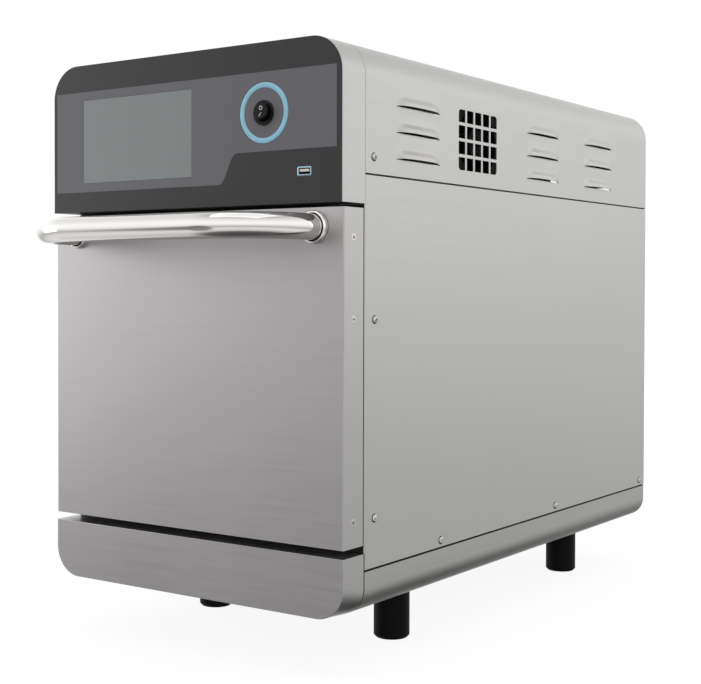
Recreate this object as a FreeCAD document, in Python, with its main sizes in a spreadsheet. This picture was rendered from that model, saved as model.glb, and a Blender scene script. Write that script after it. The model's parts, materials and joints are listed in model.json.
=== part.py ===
import FreeCAD, Part

import math
import os
import re

import Sketcher

# High-speed oven with a drop-down door, as separate pieces carried by one chassis.
# Millimetres. X runs to the right seen from the front, the front faces -Y, Z is up.
# The origin lies on the floor, in the middle of the oven's overall width and length.

SIZES = {
    # Outer casing
    "body_width": 365,
    "body_height": 525,
    "body_depth": 688,
    "corner_radius": 33,
    "tray_radius": 24,
    "bezel_radius": 30,
    "skin": 1.2,
    "cover_height": 123,
    "tray_height": 41,
    "tray_sheet": 1.5,
    "seam_gap": 0.9,
    "flange": 14,
    "vent_height": 4,
    "vent_pitch": 14,
    "bezel_height": 57,
    "head_height": 149.5,
    "door_zone": 32.5,
    "frame_sheet": 1.5,
    "frame_flange": 32,
    "rail_height": 20,
    "rail_overlap": 7,
    "post_height": 60,
    # Fits between pieces
    "gap": 0.3,
    "running": 0.05,
    # Legs
    "leg_height": 59,
    "leg_diameter": 37,
    "leg_chamfer": 2.5,
    "leg_inset": 64.5,
    "leg_front": 179,
    "leg_rear": 574,
    "stud_diameter": 10,
    "stud_length": 18,
    "nut_across": 17,
    "nut_height": 8,
    # Louvres pressed out of both sides of the top cover
    "louvre_length": 78.6,
    "louvre_height": 11,
    "louvre_reach": 3.6,
    "louvre_taper": 4.5,
    "louvre_pitch": 24.9,
    "louvre_rise": 17.4,
    "louvre_front_1": 86.9,
    "louvre_front_2": 351.6,
    "louvre_front_3": 499.8,
    # Square-holed grille in the right side of the top cover
    "grille_front": 201.5,
    "grille_rise": 16.6,
    "grille_hole_width": 13.3,
    "grille_hole_height": 13,
    "grille_post": 3.3,
    "grille_bar": 3.1,
    # Control fascia
    "fascia_thickness": 3.4,
    "window_left": 42.9,
    "window_width": 146.2,
    "window_low": 29.3,
    "window_height": 84.3,
    "glass_thickness": 2,
    "module_margin": 8,
    "module_depth": 9,
    "board_standoff": 16,
    "board_sheet": 1.6,
    "board_edge": 6,
    "chip_side": 22,
    "chip_height": 4,
    "switch_inset": 87.7,
    "switch_up": 84.5,
    "switch_bezel": 23,
    "switch_barrel": 20,
    "switch_bore": 17,
    "switch_proud": 1.5,
    "switch_depth": 18,
    "switch_blade": 6,
    "switch_blade_length": 8,
    "rocker_reach": 5.7,
    "rocker_rim": 1,
    "rocker_hollow": 30,
    "rocker_clearance": 0.5,
    "rocker_setback": 0.4,
    "rocker_tilt": 10,
    "rocker_pin": 2,
    "ring_outer": 57.2,
    "ring_inner": 46.2,
    "ring_groove": 0.8,
    "ring_proud": 0.2,
    "usb_inset": 41.4,
    "usb_up": 28.9,
    "usb_width": 12.6,
    "usb_height": 5.2,
    "usb_wall": 1.8,
    "usb_depth": 16,
    "usb_tongue": 1.8,
    "usb_recess": 5,
    "usb_tongue_inset": 1,
    "usb_tongue_drop": 0.4,
    # Door
    "door_top_gap": 4,
    "door_low_gap": 7.8,
    "door_depth": 31,
    "door_fold": 1.5,
    "pan_front": 8,
    "pan_back": 29,
    "plug_reach": 55,
    "plug_clearance": 6,
    "seal_width": 8,
    "door_screw_setback": 16,
    "door_screw_rise": 22.8,
    "door_screw_drop": 26.9,
    "door_screw_step": 73.9,
    "hinge_setback": 10,
    "hinge_rise": 6,
    "hinge_pin": 6,
    "hinge_inset": 22.5,
    "hinge_arm": 8,
    "hinge_block": 20,
    "hinge_nose": 6,
    "hinge_foot": 3,
    "block_depth": 23,
    "latch_inset": 17.5,
    "latch_drop": 20,
    "latch_slot": 21,
    "latch_slot_width": 9,
    "latch_plate": 16,
    "latch_plate_height": 34,
    "latch_hook": 5,
    "latch_shank": 9,
    "latch_tooth": 6,
    "latch_tooth_drop": 3,
    "latch_back": 5,
    "interlock_width": 12,
    "interlock_depth": 26,
    "interlock_blade": 6,
    "blade_sheet": 0.8,
    # Door handle
    "handle_tube": 24,
    "handle_wall": 1.5,
    "handle_standoff": 80.5,
    "handle_bend": 70,
    "handle_inset": 32,
    "handle_drop": 17.6,
    "collar_diameter": 30,
    "collar_length": 5,
    "handle_bolt": 6,
    "bolt_head": 10,
    "bolt_head_height": 4,
    # Cooking cavity
    "mouth_rise": 25,
    "mouth_drop": 41.5,
    "cavity_depth": 310,
    "plenum_depth": 50,
    "liner_sheet": 1.2,
    "insulation": 22,
    "side_room": 5.6,
    "duct_height": 20,
    "jet_setback": 3,
    "jet_hole": 12,
    "rack_rise": 49,
    "rack_shelf": 8,
    "rack_frame_wire": 6,
    "rack_wire": 3,
    # Convection fan and heater
    "impeller_room": 14,
    "impeller_width": 26,
    "impeller_setback": 3,
    "impeller_hub": 30,
    "impeller_lip": 24.5,
    "blade_width": 26,
    "shaft_diameter": 10,
    "motor_diameter": 92,
    "motor_length": 75,
    "motor_plate": 120,
    "motor_plate_sheet": 3,
    "motor_stay": 10,
    "motor_cap": 55,
    "motor_cap_depth": 6,
    "shaft_hole": 16,
    "heater_room": 22,
    "heater_tube": 8,
    "catalyst_side": 140,
    "catalyst_depth": 5,
    "catalyst_web": 4,
    "inlet_web": 8,
    # Microwave source
    "guide_width": 89,
    "guide_height": 46,
    "guide_sheet": 1.5,
    "guide_front": 150,
    "guide_rear": 475,
    "port_width": 60,
    "port_front": 160,
    "magnetron_back": 435,
    "magnetron_width": 95,
    "magnetron_length": 78,
    "magnetron_base": 2,
    "yoke_width": 84,
    "yoke_length": 64,
    "yoke_height": 78,
    "yoke_sheet": 2,
    "anode_diameter": 40,
    "magnet_diameter": 56,
    "magnet_height": 12,
    "fin_length": 58,
    "fin_sheet": 0.8,
    "fin_stack": 44,
    "filter_width": 46,
    "filter_length": 40,
    "filter_height": 22,
    "aerial_diameter": 16,
    "aerial_hole": 24,
    "cover_margin": 10,
    "transformer_width": 110,
    "transformer_depth": 62,
    "transformer_height": 92,
    "transformer_room": 61.8,
    "transformer_lug": 12,
    "coil_bulge": 15,
    "capacitor_across": 100,
    "capacitor_room": 10.8,
    "capacitor_width": 34,
    "capacitor_length": 84,
    "capacitor_height": 92,
    "terminal_post": 6,
    "terminal_height": 12,
    "terminal_spacing": 28,
    # Cooling fan behind the grille
    "fan_side": 80,
    "fan_depth": 25,
    "fan_bore": 76,
    "fan_tip_gap": 1.5,
    "fan_hub": 30,
    "fan_spindle": 4,
    "fan_strut": 5,
    "fan_strut_depth": 4,
    "fan_blade": 1.6,
    "fan_pitch": 35,
    # Supply side
    "board_room": 12.8,
    "board_length": 180,
    "board_low": 130,
    "board_height": 170,
    "stay_diameter": 7,
    "stay_inset": 8,
    "relay_width": 22,
    "relay_height": 30,
    "relay_depth": 16,
    "sink_length": 90,
    "sink_height": 28,
    "sink_depth": 24,
    "terminal_rise": 44,
    "terminal_length": 62,
    "terminal_width": 20,
    "terminal_depth": 24,
    "terminal_well": 7,
    "terminal_pitch": 20,
    "gland_inset": 72.5,
    "gland_rise": 72,
    "gland_bore": 13,
    "gland_thread": 20,
    "gland_hex": 27,
    "gland_proud": 20,
    "gland_inside": 14,
    "gland_nut": 5,
    # Fasteners
    "screw_shank": 4,
    "screw_head": 7.2,
    "screw_head_height": 2.2,
    "screw_length": 6,
    "cover_screw_back": 48.1,
    "cover_screw_rise": 17,
    "panel_screw_back": 49.8,
    "panel_screw_rise": 46.4,
    "panel_screw_drop": 131.8,
    "rail_screw_rise": 7.5,
    "rail_screw_front": 169.1,
    "rail_screw_middle": 426,
    "rail_screw_back": 16.1,
    "rear_screw_step": 55,
}

# Places worked out from the sizes, as formulas in their names
PLACES = {
    "half": "body_width / 2",
    "inner_half": "half - skin",
    "front": "(handle_standoff + handle_tube / 2 - body_depth - gland_proud) / 2",
    "rear": "front + body_depth",
    "base_z": "leg_height",
    "roof_z": "leg_height + body_height",
    "head_z": "roof_z - head_height",
    "cover_z": "roof_z - cover_height",
    "tray_z": "base_z + tray_height",
    "bezel_top": "base_z + bezel_height",
    "frame_y": "front + door_zone",
    "case_y": "frame_y + frame_sheet",
    "face_y": "front - fascia_thickness",
    "door_top": "head_z - door_top_gap",
    "door_low": "bezel_top + door_low_gap",
    "door_back": "front + door_depth",
    "pan_y": "front + pan_back",
    "plug_y": "front + plug_reach",
    "plug_half": "cavity_half - plug_clearance",
    "plug_low": "cavity_low + plug_clearance",
    "plug_top": "cavity_top - plug_clearance",
    "hinge_y": "front + hinge_setback",
    "hinge_z": "door_low + hinge_rise",
    "hinge_x": "half - hinge_inset",
    "latch_x": "half - latch_inset",
    "latch_z": "door_top - latch_drop",
    "handle_x": "half - handle_inset",
    "handle_z": "door_top - handle_drop",
    "liner_half": "inner_half - side_room - insulation",
    "cavity_half": "liner_half - liner_sheet",
    "cavity_low": "bezel_top + mouth_rise",
    "cavity_top": "head_z - mouth_drop",
    "liner_low": "cavity_low - liner_sheet",
    "liner_top": "cavity_top + liner_sheet",
    "baffle_y": "case_y + cavity_depth",
    "plenum_y": "baffle_y + plenum_depth",
    "liner_back": "plenum_y + liner_sheet",
    "motor_y": "liner_back + insulation",
    "jet_y": "plug_y + jet_setback",
    "jet_low": "cavity_low + duct_height",
    "jet_top": "cavity_top - duct_height",
    "fan_z": "(cavity_low + cavity_top) / 2",
    "heater_ring": "cavity_top - cavity_low - 2 * heater_room - heater_tube",
    "impeller_diameter": "heater_ring - heater_tube - 2 * impeller_room",
    "impeller_eye": "impeller_diameter - 2 * impeller_lip",
    "impeller_y": "baffle_y + liner_sheet + catalyst_depth + impeller_setback",
    "shaft_end": "motor_y + motor_plate_sheet + motor_length / 2",
    "shelf_z": "cavity_low + rack_rise",
    "rack_z": "shelf_z + gap + rack_frame_wire / 2",
    "guide_z": "liner_top + guide_height",
    "magnetron_y": "front + magnetron_back",
    "switch_x": "half - switch_inset",
    "switch_z": "head_z + switch_up",
    "usb_x": "half - usb_inset",
    "usb_z": "head_z + usb_up",
    "window_x": "window_left - half",
    "window_z": "head_z + window_low",
    "rocker_y": "face_y + rocker_setback",
    "tray_floor": "base_z + tray_sheet",
    "cool_y": "front + grille_front + 2.5 * grille_hole_width + 2 * grille_post",
    "cool_z": "cover_z + grille_rise + 2 * grille_hole_height + 1.5 * grille_bar",
    "cool_x": "inner_half - fan_depth",
    "gland_x": "gland_inset - half",
    "gland_z": "base_z + gland_rise",
    "rear_screw_x": "half - skin - flange / 2",
}

GRILLE_COLUMNS = 5
GRILLE_ROWS = 4
LOUVRES_PER_GROUP = 3
JET_ROWS = 6
JET_COLUMNS = 7
CATALYST_CELLS = 5
RACK_WIRES = 14
IMPELLER_BLADES = 14
COOLING_BLADES = 7
MAGNETRON_FINS = 6
RELAYS = 5
VENT_ROWS = range(-2, 4)

WORD = re.compile(r"[a-z_][a-z0-9_]*")
UP = FreeCAD.Vector(0, 0, 1)
TURNS = {
    "x": FreeCAD.Rotation(FreeCAD.Vector(0, 1, 0), 90),
    "y": FreeCAD.Rotation(FreeCAD.Vector(1, 0, 0), -90),
    "z": FreeCAD.Rotation(),
}

doc = FreeCAD.newDocument("high_speed_oven")
sheet = doc.addObject("Spreadsheet::Sheet", "Sizes")
for row, (alias, number) in enumerate(SIZES.items(), start=1):
    sheet.set(f"A{row}", alias)
    sheet.set(f"B{row}", str(number))
    sheet.setAlias(f"B{row}", alias)
doc.recompute()

pieces = []


def size(name):
    """The number that the sheet holds under a name."""
    return float(sheet.get(name))


def formula(text):
    """A formula of size and place names, written as an expression on the sheet."""

    def spell_out(match):
        word = match.group()
        if word in PLACES:
            return "(" + formula(PLACES[word]) + ")"
        return f"Sizes.{word}" if word in SIZES else word

    return WORD.sub(spell_out, str(text))


def bind(item, formulas):
    for place, text in formulas.items():
        item.setExpression(place, formula(text))


def place(item, **corner):
    bind(item, {f"Placement.Base.{axis}": text for axis, text in corner.items()})


def about(centre, width):
    return f"{centre} - ({width}) / 2", f"{centre} + ({width}) / 2"


def across(width):
    return about("0", width)


def past(span, extra=1):
    low, high = span
    return f"{low} - {extra}", f"{high} + {extra}"


def block(x, y, z):
    """A box between a low and a high formula on each axis."""
    item = doc.addObject("Part::Box", "Block")
    for side, axis, (low, high) in zip(("Length", "Width", "Height"), "xyz", (x, y, z)):
        bind(item, {side: f"({high}) - ({low})", f"Placement.Base.{axis}": low})
    return item


def rod(axis, diameter, span, **centre):
    """A cylinder along an axis, from the low to the high end of its span."""
    item = doc.addObject("Part::Cylinder", "Rod")
    item.Placement = FreeCAD.Placement(FreeCAD.Vector(), TURNS[axis])
    low, high = span
    bind(item, {"Radius": f"({diameter}) / 2", "Height": f"({high}) - ({low})"})
    place(item, **{axis: low}, **centre)
    return item


def cone(axis, low_diameter, high_diameter, span, **centre):
    """A cone frustum along an axis."""
    item = doc.addObject("Part::Cone", "Cone")
    item.Placement = FreeCAD.Placement(FreeCAD.Vector(), TURNS[axis])
    low, high = span
    bind(item, {"Radius1": f"({low_diameter}) / 2", "Radius2": f"({high_diameter}) / 2"})
    bind(item, {"Height": f"({high}) - ({low})"})
    place(item, **{axis: low}, **centre)
    return item


def hexagon(axis, across_flats, span, **centre):
    """A hexagonal bar along an axis."""
    item = doc.addObject("Part::Prism", "Hexagon")
    item.Polygon = 6
    item.Placement = FreeCAD.Placement(FreeCAD.Vector(), TURNS[axis])
    low, high = span
    bind(item, {"Circumradius": f"({across_flats}) / sqrt(3)", "Height": f"({high}) - ({low})"})
    place(item, **{axis: low}, **centre)
    return item


def join(*items):
    item = doc.addObject("Part::MultiFuse", "Join")
    item.Shapes = list(items)
    item.Refine = True
    return item


def cut(base, *tools):
    item = doc.addObject("Part::Cut", "Cut")
    item.Base = base
    item.Tool = tools[0] if len(tools) == 1 else join(*tools)
    return item


def common(first, second):
    item = doc.addObject("Part::Common", "Common")
    item.Base = first
    item.Tool = second
    return item


def group(*items):
    """Several separate solids of one node."""
    item = doc.addObject("Part::Compound", "Group")
    item.Links = list(items)
    return item


def mirrored(item):
    """The left-hand twin of a right-hand solid."""
    twin = doc.addObject("Part::Mirroring", "Twin")
    twin.Source = item
    twin.Base = (0, 0, 0)
    twin.Normal = (1, 0, 0)
    return twin


def pair(item):
    return group(item, mirrored(item))


def piece(name, item):
    item.Label = name
    pieces.append(item)
    return item


def origin_plane(body, role):
    return next(item for item in body.Origin.OriginFeatures if item.Role == role)


def new_sketch(body, role):
    sketch = body.newObject("Sketcher::SketchObject", "Outline")
    sketch.AttachmentSupport = (origin_plane(body, role), [""])
    sketch.MapMode = "FlatFace"
    return sketch


def dimension(sketch, constraint, text):
    index = sketch.addConstraint(constraint)
    sketch.setExpression(f"Constraints[{index}]", formula(text))


def line(start, end):
    return Part.LineSegment(FreeCAD.Vector(*start, 0), FreeCAD.Vector(*end, 0))


def arc(centre, radius, start, end):
    circle = Part.Circle(FreeCAD.Vector(*centre, 0), UP, radius)
    return Part.ArcOfCircle(circle, start, end)


def arched(x, y, z, radius, rounded="top"):
    """A bar along Y whose section has its two upper, or two lower, corners rounded."""
    body = doc.addObject("PartDesign::Body", "Arched")
    sketch = new_sketch(body, "XZ_Plane")
    width, height, bend = 300, 100, 20
    quarter = math.pi / 2
    sketch.addGeometry(line((0, 0), (width, 0)), False)
    sketch.addGeometry(line((width, 0), (width, height - bend)), False)
    sketch.addGeometry(arc((width - bend, height - bend), bend, 0, quarter), False)
    sketch.addGeometry(line((width - bend, height), (bend, height)), False)
    sketch.addGeometry(arc((bend, height - bend), bend, quarter, 2 * quarter), False)
    sketch.addGeometry(line((0, height - bend), (0, 0)), False)
    for kind, first, second in (
        ("Coincident", (0, 1), (-1, 1)),
        ("Coincident", (0, 2), (1, 1)),
        ("Tangent", (1, 2), (2, 1)),
        ("Tangent", (2, 2), (3, 1)),
        ("Tangent", (3, 2), (4, 1)),
        ("Tangent", (4, 2), (5, 1)),
        ("Coincident", (5, 2), (0, 1)),
    ):
        sketch.addConstraint(Sketcher.Constraint(kind, *first, *second))
    for kind, edge in (("Horizontal", 0), ("Vertical", 1), ("Horizontal", 3), ("Vertical", 5)):
        sketch.addConstraint(Sketcher.Constraint(kind, edge))
    sketch.addConstraint(Sketcher.Constraint("Equal", 2, 4))
    dimension(sketch, Sketcher.Constraint("DistanceX", 0, 1, 0, 2, width), f"({x[1]}) - ({x[0]})")
    dimension(sketch, Sketcher.Constraint("DistanceY", 0, 1, 3, 1, height), f"({z[1]}) - ({z[0]})")
    dimension(sketch, Sketcher.Constraint("Radius", 2, bend), radius)
    pad = body.newObject("PartDesign::Pad", "Pad")
    pad.Profile = sketch
    pad.Reversed = True
    bind(pad, {"Length": f"({y[1]}) - ({y[0]})"})
    corner = {"x": x[0], "y": y[0], "z": z[0]}
    if rounded == "bottom":
        body.Placement = FreeCAD.Placement(
            FreeCAD.Vector(), FreeCAD.Rotation(FreeCAD.Vector(0, 1, 0), 180)
        )
        corner = {"x": x[1], "y": y[0], "z": z[1]}
    place(body, **corner)
    return body


def folded(x, y, z, radius):
    """A block whose two upright front edges are bent round a radius."""
    narrow = block((f"{x[0]} + {radius}", f"{x[1]} - ({radius})"), y, z)
    behind = block(x, (f"{y[0]} + {radius}", y[1]), z)
    bends = [
        rod("z", f"2 * ({radius})", z, x=centre, y=f"{y[0]} + {radius}")
        for centre in (f"{x[0]} + {radius}", f"{x[1]} - ({radius})")
    ]
    return join(narrow, behind, *bends)


def louvre_hood(back, up, inset):
    """A pressed hood on the right side, open below, as its outside or its hollow."""
    hood = doc.addObject("Part::Wedge", "Hood")
    hood.Placement = FreeCAD.Placement(
        FreeCAD.Vector(), FreeCAD.Rotation(FreeCAD.Vector(1, 0, 0), 90)
    )
    bind(
        hood,
        {
            "Xmin": "0",
            "Xmax": f"louvre_reach + skin / 2 - {inset}",
            "X2min": "0",
            "X2max": "skin / 2 + 0.1",
            "Ymin": "0",
            "Ymax": f"louvre_height - {inset}",
            "Zmin": inset,
            "Zmax": f"louvre_length - {inset}",
            "Z2min": f"louvre_taper + {inset}",
            "Z2max": f"louvre_length - louvre_taper - {inset}",
            "Placement.Base.x": "half - skin / 2",
            "Placement.Base.y": f"{back} + louvre_length",
            "Placement.Base.z": up,
        },
    )
    return hood


def make_top_cover():
    span_y = ("case_y", "rear")
    outside = arched(("-half", "half"), span_y, ("cover_z + seam_gap", "roof_z"), "corner_radius")
    inside = arched(
        ("-inner_half", "inner_half"),
        past(span_y),
        ("cover_z - 1", "roof_z - skin"),
        "corner_radius - skin",
    )
    flange_y = ("rear - 2 * skin", "rear - skin")
    flange = cut(
        arched(
            ("-inner_half", "inner_half"),
            flange_y,
            ("cover_z + seam_gap", "roof_z - skin"),
            "corner_radius - skin",
        ),
        arched(
            ("flange - inner_half", "inner_half - flange"),
            past(flange_y),
            ("cover_z - 1", "roof_z - skin - flange"),
            "corner_radius - skin - flange",
        ),
    )
    hoods = []
    slots = []
    for group_front in ("louvre_front_1", "louvre_front_2", "louvre_front_3"):
        for row in range(LOUVRES_PER_GROUP):
            back = f"front + {group_front}"
            up = f"cover_z + louvre_rise + {row} * louvre_pitch"
            hoods.append(cut(louvre_hood(back, up, "0"), louvre_hood(back, up, "skin")))
            slots.append(
                block(
                    ("inner_half - 1", "half + 0.05"),
                    (f"{back} + louvre_taper + skin", f"{back} + louvre_length - louvre_taper - skin"),
                    (up, f"{up} + louvre_height - 3 * skin"),
                )
            )
    holes = []
    for column in range(GRILLE_COLUMNS):
        for row in range(GRILLE_ROWS):
            low_y = f"front + grille_front + {column} * (grille_hole_width + grille_post)"
            low_z = f"cover_z + grille_rise + {row} * (grille_hole_height + grille_bar)"
            holes.append(
                block(
                    ("inner_half - 1", "half + 1"),
                    (low_y, f"{low_y} + grille_hole_width"),
                    (low_z, f"{low_z} + grille_hole_height"),
                )
            )
    right_hoods = join(*hoods)
    right_slots = join(*slots)
    folded = join(cut(outside, inside), flange, right_hoods, mirrored(right_hoods))
    openings = [right_slots, mirrored(right_slots), *holes]
    openings += both_sides(side_screws("cover")) + both_sides(rear_screws("cover"))
    piece("top_cover", cut(folded, *openings))


SIDE_SCREWS = {
    "cover": [("front + cover_screw_back", "cover_z + cover_screw_rise")],
    "frame": [
        ("front + panel_screw_back", "tray_z + panel_screw_rise"),
        ("front + panel_screw_back", "cover_z - panel_screw_drop"),
    ],
    "tray": [
        ("front + rail_screw_front", "tray_z + rail_screw_rise"),
        ("front + rail_screw_middle", "tray_z + rail_screw_rise"),
        ("rear - rail_screw_back", "tray_z + rail_screw_rise"),
    ],
}


def round_screw(axis, face, **centre):
    """A round-headed screw whose head stands on a face and whose shank goes inwards."""
    head_z = (face, f"{face} + screw_head_height")
    head = cone(axis, "screw_head", "screw_head * 0.6", head_z, **centre)
    return join(head, rod(axis, "screw_shank", (f"{face} - screw_length", face), **centre))


def side_screws(*sets):
    """Screws in the right side of the casing."""
    return [
        round_screw("x", "half", y=back, z=up)
        for name in sets
        for back, up in SIDE_SCREWS[name]
    ]


def both_sides(items):
    """Right-hand solids and their left-hand twins."""
    return [twin for item in items for twin in (item, mirrored(item))]


REAR_SCREWS = {
    "cover": [("rear_screw_x", "roof_z - rear_screw_step"), ("half / 3", "roof_z - skin - flange / 2")],
    "side": [("rear_screw_x", "tray_z + rear_screw_step"), ("rear_screw_x", "cover_z - rear_screw_step")],
    "tray": [("half / 3", "base_z + tray_sheet + flange / 2")],
}


def rear_screws(*sets):
    """Screws in the right half of the rear panel."""
    return [
        round_screw("y", "rear", x=across_place, z=up)
        for name in sets
        for across_place, up in REAR_SCREWS[name]
    ]


def make_side_panels():
    wall = block(("inner_half", "half"), ("case_y", "rear"), ("tray_z + seam_gap", "cover_z"))
    fold = block(
        ("half - flange", "half"),
        ("rear - 2 * skin", "rear - skin"),
        ("tray_z + seam_gap", "cover_z"),
    )
    right = cut(join(wall, fold), *side_screws("frame", "tray"), *rear_screws("side"))
    piece("side_panel_right", right)
    piece("side_panel_left", mirrored(right))


def make_base_tray():
    outer_x = ("-half", "half")
    inner_x = ("tray_sheet - half", "half - tray_sheet")
    section = ("base_z", "tray_z")
    outside = arched(outer_x, ("case_y", "rear - skin"), section, "tray_radius", "bottom")
    hollow_z = ("tray_floor", "tray_z + 1")
    inside = arched(
        inner_x,
        ("case_y + tray_sheet", "rear + 1"),
        hollow_z,
        "tray_radius - tray_sheet",
        "bottom",
    )
    fold_y = ("rear - skin - tray_sheet", "rear - skin")
    fold = cut(
        arched(inner_x, fold_y, ("tray_floor", "tray_z"), "tray_radius - tray_sheet", "bottom"),
        block(across("body_width - 4 * flange"), past(fold_y), ("tray_floor + flange", "tray_z + 1")),
    )
    ledge = block(
        ("inner_half - tray_sheet", "inner_half"),
        ("case_y", "rear - 2 * skin - gap"),
        ("tray_z - flange", "tray_z + flange"),
    )
    holes = [
        rod("z", "stud_diameter + 2 * gap", past(("base_z", "tray_floor")), x=x, y=y)
        for x, y in LEGS.values()
    ]
    holes += both_sides(side_screws("tray")) + both_sides(rear_screws("tray"))
    piece("base_tray", cut(join(cut(outside, inside), fold, *both_sides([ledge])), *holes))


def make_bezel():
    outside = arched(
        ("-half", "half"),
        ("front", "case_y - gap"),
        ("base_z", "bezel_top"),
        "bezel_radius",
        "bottom",
    )
    inside = arched(
        ("-inner_half", "inner_half"),
        ("front + skin", "case_y + 1"),
        ("base_z + skin", "bezel_top - skin"),
        "bezel_radius - skin",
        "bottom",
    )
    piece("lower_bezel", cut(outside, inside))


def make_rear_panel():
    panel_x = ("gap - inner_half", "inner_half - gap")
    panel_y = ("rear - skin", "rear")
    upper = arched(panel_x, panel_y, ("base_z", "roof_z - skin - gap"), "corner_radius - skin - gap")
    lower = arched(panel_x, panel_y, ("base_z + skin", "roof_z + 1"), "tray_radius - skin", "bottom")
    vents = [
        block(
            about(f"{side} * half / 2", "half / 2"),
            past(panel_y),
            about(f"cover_z + {row} * vent_pitch", "vent_height"),
        )
        for side in (-1, 1)
        for row in VENT_ROWS
    ]
    holes = [rod("y", "gland_thread + 2 * gap", past(panel_y), x="gland_x", z="gland_z")]
    holes += both_sides(rear_screws("cover", "side", "tray"))
    piece("rear_panel", cut(common(upper, lower), *vents, *holes))


def make_rails():
    span_x = ("inner_half - frame_sheet", "inner_half")
    rail = block(
        span_x,
        ("case_y", "rear - 2 * skin"),
        ("cover_z + rail_overlap - rail_height", "cover_z + rail_overlap"),
    )
    post = block(span_x, ("case_y", "case_y + frame_flange"), ("head_z", "head_z + post_height"))
    piece("chassis_rails", pair(cut(join(rail, post), *side_screws("cover"))))


def make_front_frame():
    plate_z = ("bezel_top + gap", "head_z - gap")
    plate = block(("-half", "half"), ("frame_y", "case_y"), plate_z)
    flange = block(
        ("inner_half - frame_sheet", "inner_half"),
        ("frame_y", "case_y + frame_flange"),
        ("tray_z + flange + 2", "head_z - gap"),
    )
    mouth = block(
        ("-cavity_half", "cavity_half"),
        past(("frame_y", "case_y")),
        ("cavity_low", "cavity_top"),
    )
    arm_slot = block(
        about("hinge_x", "hinge_arm + 2 * gap"),
        past(("frame_y", "case_y")),
        about("hinge_z", "2 * hinge_nose + 2 * gap"),
    )
    latch_slot = block(
        about("latch_x", "latch_slot_width"),
        past(("frame_y", "case_y")),
        ("latch_z - latch_slot / 2", "latch_z + latch_slot / 2"),
    )
    tools = [mouth, *both_sides([arm_slot, latch_slot]), *both_sides(side_screws("frame"))]
    piece("front_frame", cut(join(plate, *both_sides([flange])), *tools))


def make_control_head():
    shell = cut(
        arched(("-half", "half"), ("front", "case_y - gap"), ("head_z", "roof_z"), "corner_radius"),
        arched(
            ("-inner_half", "inner_half"),
            ("front - 1", "case_y + 1"),
            ("head_z + skin", "roof_z - skin"),
            "corner_radius - skin",
        ),
    )
    piece("control_head_shell", shell)
    window_x = ("window_x", "window_x + window_width")
    window_z = ("window_z", "window_z + window_height")
    groove_y = ("face_y - ring_proud", "face_y + ring_groove")
    face = arched(("-half", "half"), ("face_y", "front"), ("head_z", "roof_z"), "corner_radius")
    centre = {"x": "switch_x", "z": "switch_z"}

    def ring():
        return cut(
            rod("y", "ring_outer", groove_y, **centre),
            rod("y", "ring_inner", past(groove_y), **centre),
        )

    usb_hole = block(
        about("usb_x", "usb_width + 2 * usb_wall"),
        past(("face_y", "front")),
        about("usb_z", "usb_height + 2 * usb_wall"),
    )
    window = block(window_x, past(("face_y", "front")), window_z)
    barrel_hole = rod("y", "switch_barrel", past(("face_y", "front")), **centre)
    piece("control_fascia", cut(face, window, ring(), barrel_hole, usb_hole))
    piece("indicator_ring", ring())
    pane = block(
        (f"{window_x[0]} + gap / 2", f"{window_x[1]} - gap / 2"),
        ("face_y", "face_y + glass_thickness"),
        (f"{window_z[0]} + gap / 2", f"{window_z[1]} - gap / 2"),
    )
    piece("display_glass", pane)
    screen = block(
        (f"{window_x[0]} + gap", f"{window_x[1]} - gap"),
        ("face_y + glass_thickness", "front + 1"),
        (f"{window_z[0]} + gap", f"{window_z[1]} - gap"),
    )
    housing = block(
        (f"{window_x[0]} - module_margin", f"{window_x[1]} + module_margin"),
        ("front", "front + module_depth"),
        (f"{window_z[0]} - module_margin", f"{window_z[1]} + module_margin"),
    )
    piece("display_module", join(screen, housing))


def make_control_board():
    board_y = ("front + board_standoff", "front + board_standoff + board_sheet")
    left = "window_x - 2 * module_margin"
    right = "window_x + window_width + 2 * module_margin"
    low = "head_z + 2 * module_margin"
    high = "window_z + window_height + 2 * module_margin"
    board = block(past((left, right), "board_edge"), board_y, past((low, high), "board_edge"))
    stays = [
        rod("y", "board_edge", ("front", board_y[1]), x=x, z=z)
        for x in (left, right)
        for z in (low, high)
    ]
    chips = [
        block(
            about(f"window_x + {share} * window_width", "chip_side"),
            (board_y[0], f"{board_y[1]} + chip_height"),
            about("window_z + window_height / 2", "chip_side"),
        )
        for share in (0.2, 0.5, 0.8)
    ]
    piece("control_board", join(board, *stays, *chips))


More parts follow.
